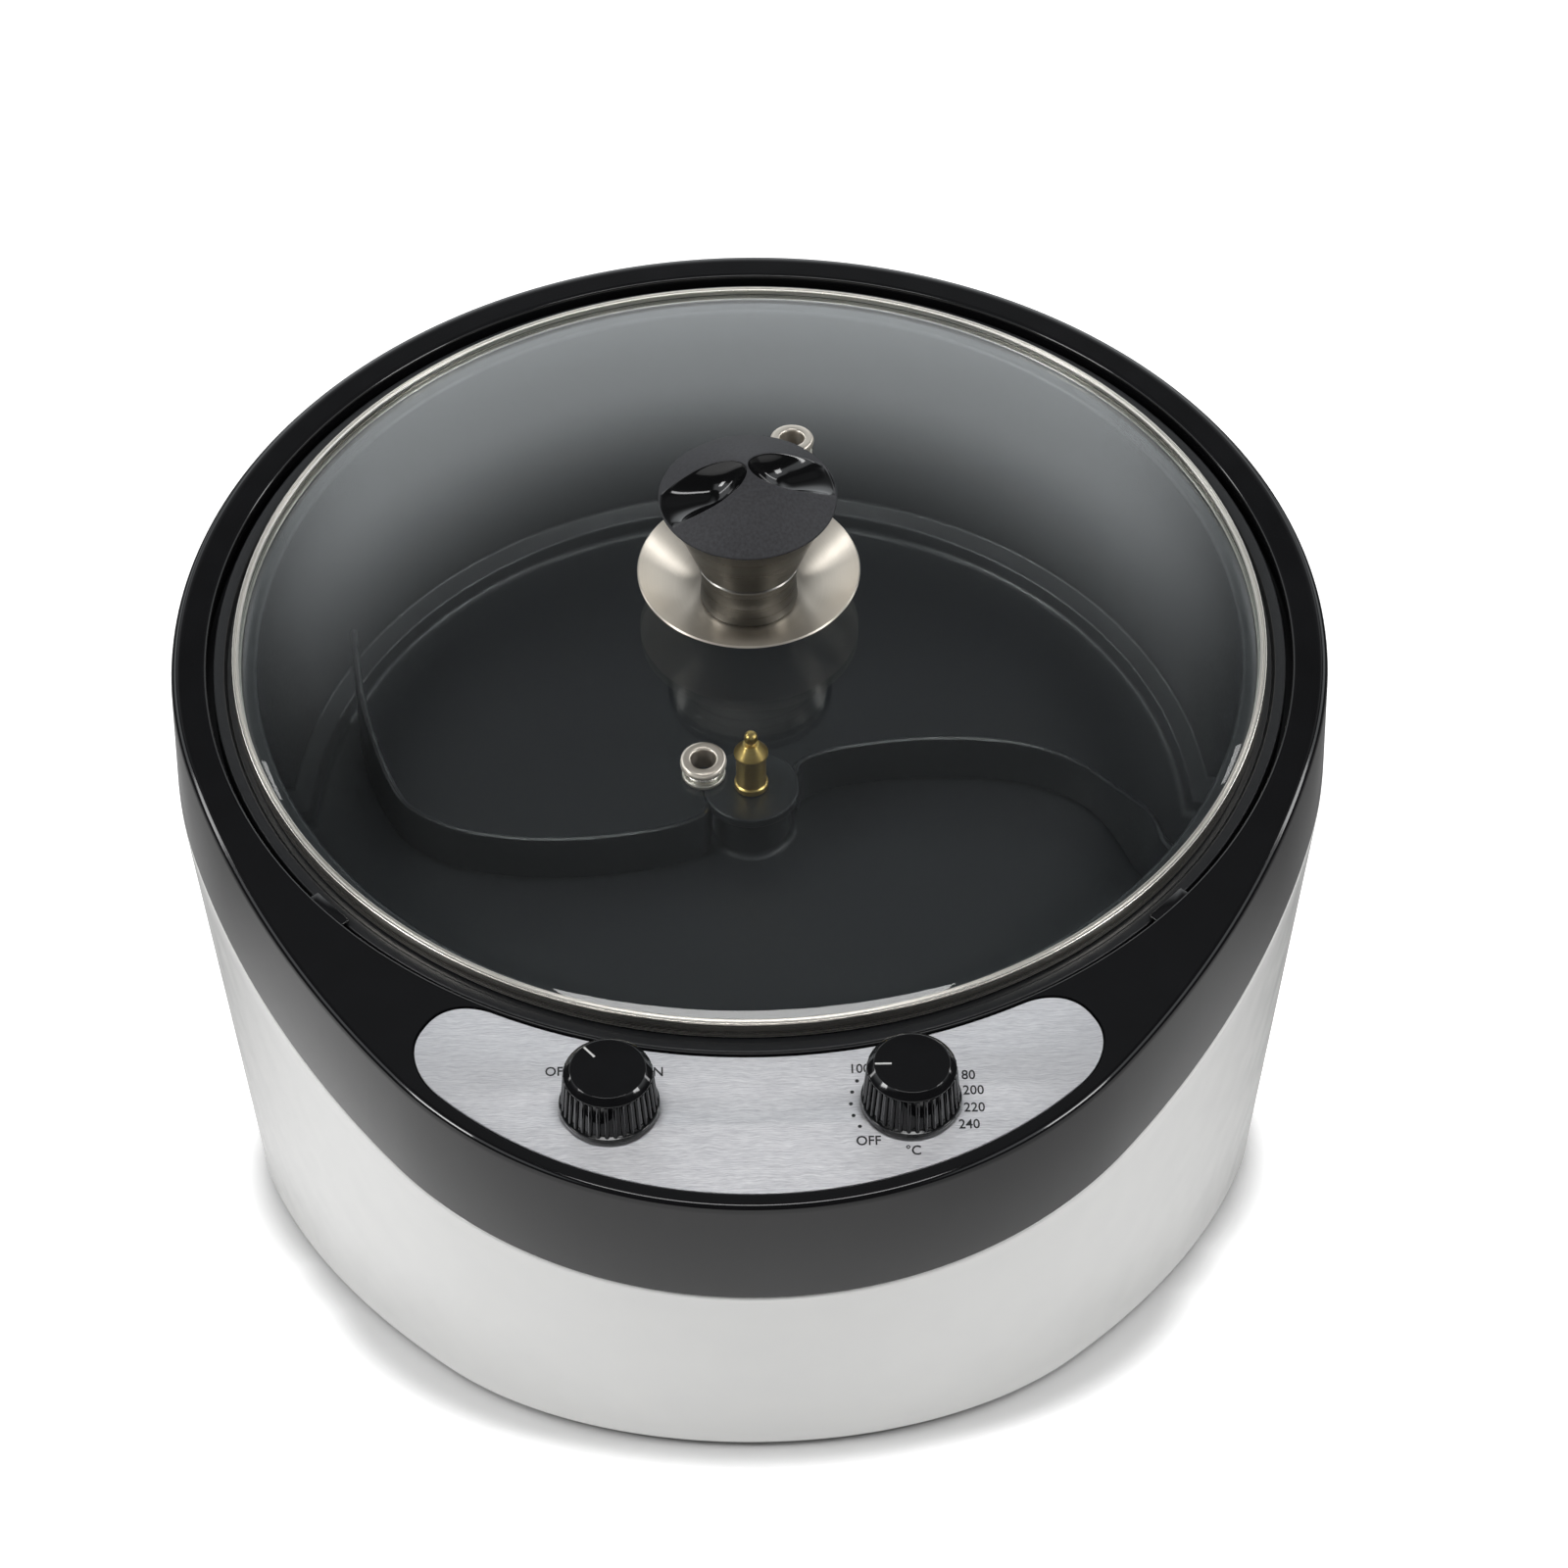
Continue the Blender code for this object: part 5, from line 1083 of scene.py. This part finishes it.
def cap_surface(x, y):
    """Level of the cap over its rim, and whether it is in a scoop: facets fall from the middle to the rim."""
    height = cap_rise * (1 - min(1, hypot(x, y) / cap_radius) ** cap_fall_power)
    facet = height
    c, s = cos(scoop_turn), sin(scoop_turn)
    for side in (1, -1):
        along, across = side * (x * c + y * s), abs(y * c - x * s)
        if along <= scoop_start:
            continue
        if along < scoop_widest:
            short = (scoop_widest - along) / (scoop_widest - scoop_start)
            width = scoop_half_width * sqrt(1 - short**2)
        else:
            width = scoop_half_width - scoop_narrowing * ((along - scoop_widest) / (cap_radius - scoop_widest)) ** 2
        axis_level = cap_rise * (1 - min(1, along / cap_radius) ** cap_fall_power)
        sink = scoop_floor_share + (1 - scoop_floor_share) * max(0, 1 - along / scoop_widest) ** scoop_floor_power
        floor = axis_level * sink
        brim = cap_rise * (1 - min(1, hypot(along, width) / cap_radius) ** cap_fall_power)
        hollow = floor + max(brim - floor, 0.0002) * (across / width) ** scoop_hollow_power
        mix = max(0, min(1, 0.5 + (height - hollow) / (2 * scoop_edge_blend)))
        height = height * (1 - mix) + hollow * mix - scoop_edge_blend * mix * (1 - mix)
    return max(height, 0), min(1, max(0, (facet - height) / 0.0002 - 0.1))


def make_cap(foot):
    turns = 320
    rim = foot + cap_rim_height
    rings = [[Vector((0, 0, rim + cap_surface(0, 0)[0]))]]
    for share in shares(120, 1):
        line = circle(cap_radius * sin(pi / 2 * share), turns)
        rings.append([Vector((x, y, rim + cap_surface(x, y)[0])) for x, y in line])
    for inset, level in ((-0.0002, cap_rim_height - 0.0002), (-0.0002, 0.0003), (0.0001, 0)):
        rings.append([Vector((x, y, foot + level)) for x, y in circle(cap_radius - inset, turns)])
    rings.append([Vector((0, 0, foot))])
    sketch = skin(rings, around=False, capped=False)
    polish = sketch.verts.layers.float.new("polish")
    for vert in sketch.verts:
        vert[polish] = cap_surface(vert.co.x, vert.co.y)[1] if vert.co.z > rim - 0.0001 else 0
    add_piece("knob_cap", sketch, deck, "lid", cap_abs, ["lid_knob_cap"], sharp_deg=60)


# Control knobs
def make_knob(side, body, rest, node):
    place = deck @ shift(side * control_spread, control_back) @ spin(rest)
    foot, top = knob_foot, knob_foot + knob_height
    shoulder = top - 0.0019
    dial = turned(
        [
            (0, top, 0), (0.0094, top, 0.0004), (dial_radius, top - 0.0016, 0.0003),
            (dial_radius, shoulder, 0.0001), (dial_radius - 0.0005, shoulder - 0.0003, 0),
            (dial_radius + 0.0004, foot + 0.0016, 0.0002), (dial_flange_radius, foot + 0.0013, 0.0004),
            (dial_flange_radius, foot, 0.0003), (dial_hollow_radius, foot, 0),
            (dial_hollow_radius, foot + 0.0042, 0), (dial_bore_radius, foot + 0.0042, 0),
            (dial_bore_radius, foot + dial_bore_depth, 0), (0, foot + dial_bore_depth, 0),
        ],
        144,
        closed=False,
    )
    length, width, depth = pointer_size
    middle = pointer_end - length / 2
    groove = block((length, width, 2 * depth), (middle, 0, top))
    name = node.replace("_knob", "")
    dial = combined(dial, [groove])
    add_piece(f"{name}_dial_knob", dial, place, body, knob_abs, [node])
    inlay = block((length - 0.0001, width - 0.0001, depth - 0.00005), (middle, 0, top - depth / 2))
    add_piece(f"{name}_pointer", inlay, place, body, pointer_paint)
    height = shoulder - foot - 0.0016
    full = 2 * pi * (rib_count - 1) / rib_count
    lean = -atan(0.0009 / height)
    ribs = stood_round(f"{name}_ribs", knob_abs, rib_count, dial_radius, 0.0, full, rib_radius, height, lean, 10)
    rib_place = place @ shift(z=foot + 0.0015 + height / 2)
    add_piece(f"{name}_knob_ribs", ribs, rib_place, body, knob_abs, sharp_deg=50)


# Dial print
def printed(name, text, place_x, place_y):
    """Word printed on the panel, centred on a point of the deck."""
    curve = bpy.data.curves.new(name, "FONT")
    curve.body = text
    curve.size = letter_height / 0.7
    curve.align_x = "CENTER"
    curve.align_y = "CENTER"
    curve.extrude = print_depth / 2
    curve.offset = 0.00004
    curve.resolution_u = 3
    sketch = sketch_of(put(name, curve))
    place = deck @ shift(place_x, place_y, panel_top + 0.00005) @ Matrix.Diagonal((letter_stretch, 1, 1, 1))
    add_piece(name, sketch, place, "housing", print_ink)


def make_print():
    for name, text, side, radius, angle in (
        ("off_power", "OFF", -1, 0.0176, 138), ("on_power", "ON", -1, 0.0154, 46),
        ("off_temperature", "OFF", 1, 0.0164, 228), ("100", "100", 1, 0.0166, 139),
        ("120", "120", 1, 0.0162, 110), ("140", "140", 1, 0.0160, 83), ("160", "160", 1, 0.0160, 56),
        ("180", "180", 1, 0.0160, 31), ("200", "200", 1, 0.0160, 12), ("220", "220", 1, 0.0158, -8),
        ("240", "240", 1, 0.0160, -28), ("degree", "°C", 1, 0.0155, 270),
    ):
        turn = radians(angle)
        x, y = side * control_spread + radius * cos(turn), control_back + radius * sin(turn)
        printed(f"print_{name}", text, x, y)
    first, last = dot_turns
    size = (dot_radius, print_depth, 0.0, 24)
    dots = stood_round("dial_dots", print_ink, dot_count, dot_reach, first, last - first, *size)
    place = deck @ shift(control_spread, control_back, panel_top + 0.00005)
    add_piece("print_dots", dots, place, "housing", print_ink)


def dress_solids():
    """Finishes of the solids that stay as they are."""
    for node, finish in {
        "pot_gasket": seal_silicone,
        "shaft_seal": seal_silicone,
        "lid_knob_washer": seal_silicone,
        "heating_element": element_steel,
        "thermostat_sensor": copper,
        "spindle_bush": brass,
        "thermal_cutout": ceramic,
        "terminal_block": ceramic,
        "power_switch_body": inner_plastic,
    }.items():
        dress(node, finish)
    for node in nodes:
        if node.startswith("element_support"):
            dress(node, ceramic)
        elif "shaft" in node or "spindle" in node or "coupling" in node:
            if node not in ("shaft_seal", "spindle_bush"):
                dress(node, shaft_steel)
        elif "screw" in node or "nut" in node or "bracket" in node or "sheet" in node:
            dress(node, zinc_sheet)
    for node in ("heat_shield", "gearbox_housing", "motor_can", "thermostat_body"):
        dress(node, zinc_sheet)


make_cover()
make_panel()
make_body()
make_inlet()
make_plate()
make_feet()
make_pot()
make_stirrer()
make_lid()
make_lid_knob()
make_knob(-1, "power_control", power_rest, "power_knob")
make_knob(1, "temperature_control", temperature_rest, "temperature_knob")
make_print()
dress_solids()


# Studio
def make_stage():
    floor_mesh = bpy.data.meshes.new("floor")
    sketch = bmesh.new()
    bmesh.ops.create_grid(sketch, x_segments=1, y_segments=1, size=4)
    sketch.to_mesh(floor_mesh)
    sketch.free()
    paper = bpy.data.materials.new("white_paper_sweep")
    paper.use_nodes = True
    tree = paper.node_tree
    tree.nodes.clear()
    path = add_node(tree, "ShaderNodeLightPath")
    place = (add_node(tree, "ShaderNodeTexCoord"), "Object")
    axes = add_node(tree, "ShaderNodeSeparateXYZ", {"Vector": place})
    # Reflections see the paper behind the roaster and on its right darker than it is lit: painted shade in the
    # mirrored floor
    left = 1.0
    for axis, span, least in (("Y", (-0.04, 0.18), 0.34), ("X", (0.0, 0.22), 0.62)):
        left = reckoned(tree, "MULTIPLY", left, graded(tree, (axes, axis), span, (1.0, least), soft=True))
    mirrored = reckoned(tree, "MULTIPLY", (path, "Is Glossy Ray"), left)
    seen = reckoned(tree, "MULTIPLY_ADD", mirrored, paper_mirrored, (path, "Is Camera Ray"))
    shown = reckoned(tree, "ADD", seen, (path, "Is Transmission Ray"), clamp=True)
    # Circles of a middle and a radius follow the foot's outline: away is how far a point lies outside them all
    away = 1.0
    for middle, radius in painted_shadow_circles:
        reach = vector_of(tree, "DISTANCE", place, (0, middle, 0), output="Value")
        away = reckoned(tree, "MINIMUM", away, reckoned(tree, "SUBTRACT", reach, radius))
    # The paper's glow is nil under the body and fades in just outside the foot: a painted contact shadow on the floor
    glow_with_painted_shadow = graded(tree, away, painted_shadow_reach, (0.0, paper_glow), soft=True)
    share = reckoned(tree, "MULTIPLY", shown, glow_with_painted_shadow)
    # Gloss rays also see the paper's own white darkened by the same painted shade
    gloss_painted_shade = reckoned(tree, "SUBTRACT", (path, "Is Glossy Ray"), mirrored)
    white = reckoned(tree, "MULTIPLY_ADD", gloss_painted_shade, -paper_white, paper_white)
    diffuse = add_node(tree, "ShaderNodeBsdfDiffuse", {"Color": white})
    light = add_node(tree, "ShaderNodeEmission", {"Color": (1, 1, 1, 1), "Strength": share})
    both = add_node(tree, "ShaderNodeAddShader", {0: (diffuse, "BSDF"), 1: (light, "Emission")})
    add_node(tree, "ShaderNodeOutputMaterial", {"Surface": (both, "Shader")})
    floor_mesh.materials.append(paper)
    put("floor", floor_mesh)


def make_world():
    """White surroundings for the eye. Reflections see a dark room with a bright wall behind and windows beside."""
    world = bpy.data.worlds.new("studio")
    bpy.context.scene.world = world
    world.use_nodes = True
    tree = world.node_tree
    tree.nodes.clear()
    path = add_node(tree, "ShaderNodeLightPath")
    way = add_node(tree, "ShaderNodeTexCoord")
    parts = add_node(tree, "ShaderNodeSeparateXYZ", {"Vector": (way, "Generated")})
    up, back, aside = (parts, "Z"), (parts, "Y"), reckoned(tree, "ABSOLUTE", (parts, "X"))

    def window(edges, strength):
        """Soft-edged part of the sky: each edge is a value with the two ends between which it fades in."""
        share = strength
        for value, start, end in edges:
            reach = (1.0, 0.0) if start > end else (0.0, 1.0)
            edge = graded(tree, value, (min(start, end), max(start, end)), reach, soft=True)
            share = reckoned(tree, "MULTIPLY", edge, share)
        return share

    def backdrop(colour, strength):
        return add_node(tree, "ShaderNodeBackground", {"Color": colour, "Strength": strength}), "Background"

    gleam = room_gleam
    for edges, strength in (
        (((up, 0.94, 0.79), (up, 0.2, 0.46), (aside, 0.5, 0.27), (back, -0.1, 0.2)), 1.52),
        (((up, 0.76, 0.7), (up, 0.36, 0.44), (aside, 0.42, 0.55)), 1.1),
        (((up, 0.925, 0.965),), 0.09),
    ):
        gleam = reckoned(tree, "ADD", gleam, window(edges, strength))
    room = backdrop((0.94, 0.975, 1, 1), gleam)
    fill = backdrop((1, 1, 1, 1), room_fill)
    seen = backdrop((1, 1, 1, 1), 1.0)
    sharp = reckoned(tree, "ADD", (path, "Is Glossy Ray"), (path, "Is Transmission Ray"), clamp=True)
    lit = (add_node(tree, "ShaderNodeMixShader", {0: sharp, 1: fill, 2: room}), "Shader")
    final = add_node(tree, "ShaderNodeMixShader", {0: (path, "Is Camera Ray"), 1: lit, 2: seen})
    add_node(tree, "ShaderNodeOutputWorld", {"Surface": (final, "Shader")})


def make_lamp(name, place, target, size, power):
    lamp = bpy.data.lights.new(name, "AREA")
    lamp.shape = "RECTANGLE"
    lamp.size, lamp.size_y = size
    lamp.energy = power
    thing = put(name, lamp)
    thing.location = place
    thing.rotation_euler = (Vector(target) - Vector(place)).to_track_quat("-Z", "Y").to_euler()


def make_camera():
    lens = bpy.data.cameras.new("camera")
    lens.sensor_width = 36
    lens.lens = 112.5
    lens.clip_start = 0.05
    lens.clip_end = 30
    right = Vector((0.99976673, -0.01766318, -0.01242972))
    up = Vector((0.01815966, 0.37589389, 0.92648476))
    ahead = Vector((0.01169241, 0.92649436, -0.37612696))
    turn = Matrix((right, up, -ahead)).transposed().to_4x4()
    thing = put("camera", lens)
    thing.matrix_world = Matrix.Translation((-0.00692, -1.25021, 0.63762)) @ turn
    bpy.context.scene.camera = thing


make_stage()
make_world()
middle = (0, 0, 0.1)
for name, side, power in (("left", -1, 9.5), ("right", 1, 7.5)):
    make_lamp(f"softbox_{name}", (1.58 * side, -0.92, 1.11), middle, (0.47, 0.47), power)
    make_lamp(f"strip_{name}", (1.4 * side, 0.25, 1.12), middle, (0.16, 0.9), 2.5)
make_lamp("softbox_above", (0, -1.15, 2.15), middle, (1.5, 0.3), 13)
make_camera()
bpy.context.scene.view_settings.view_transform = "Standard"
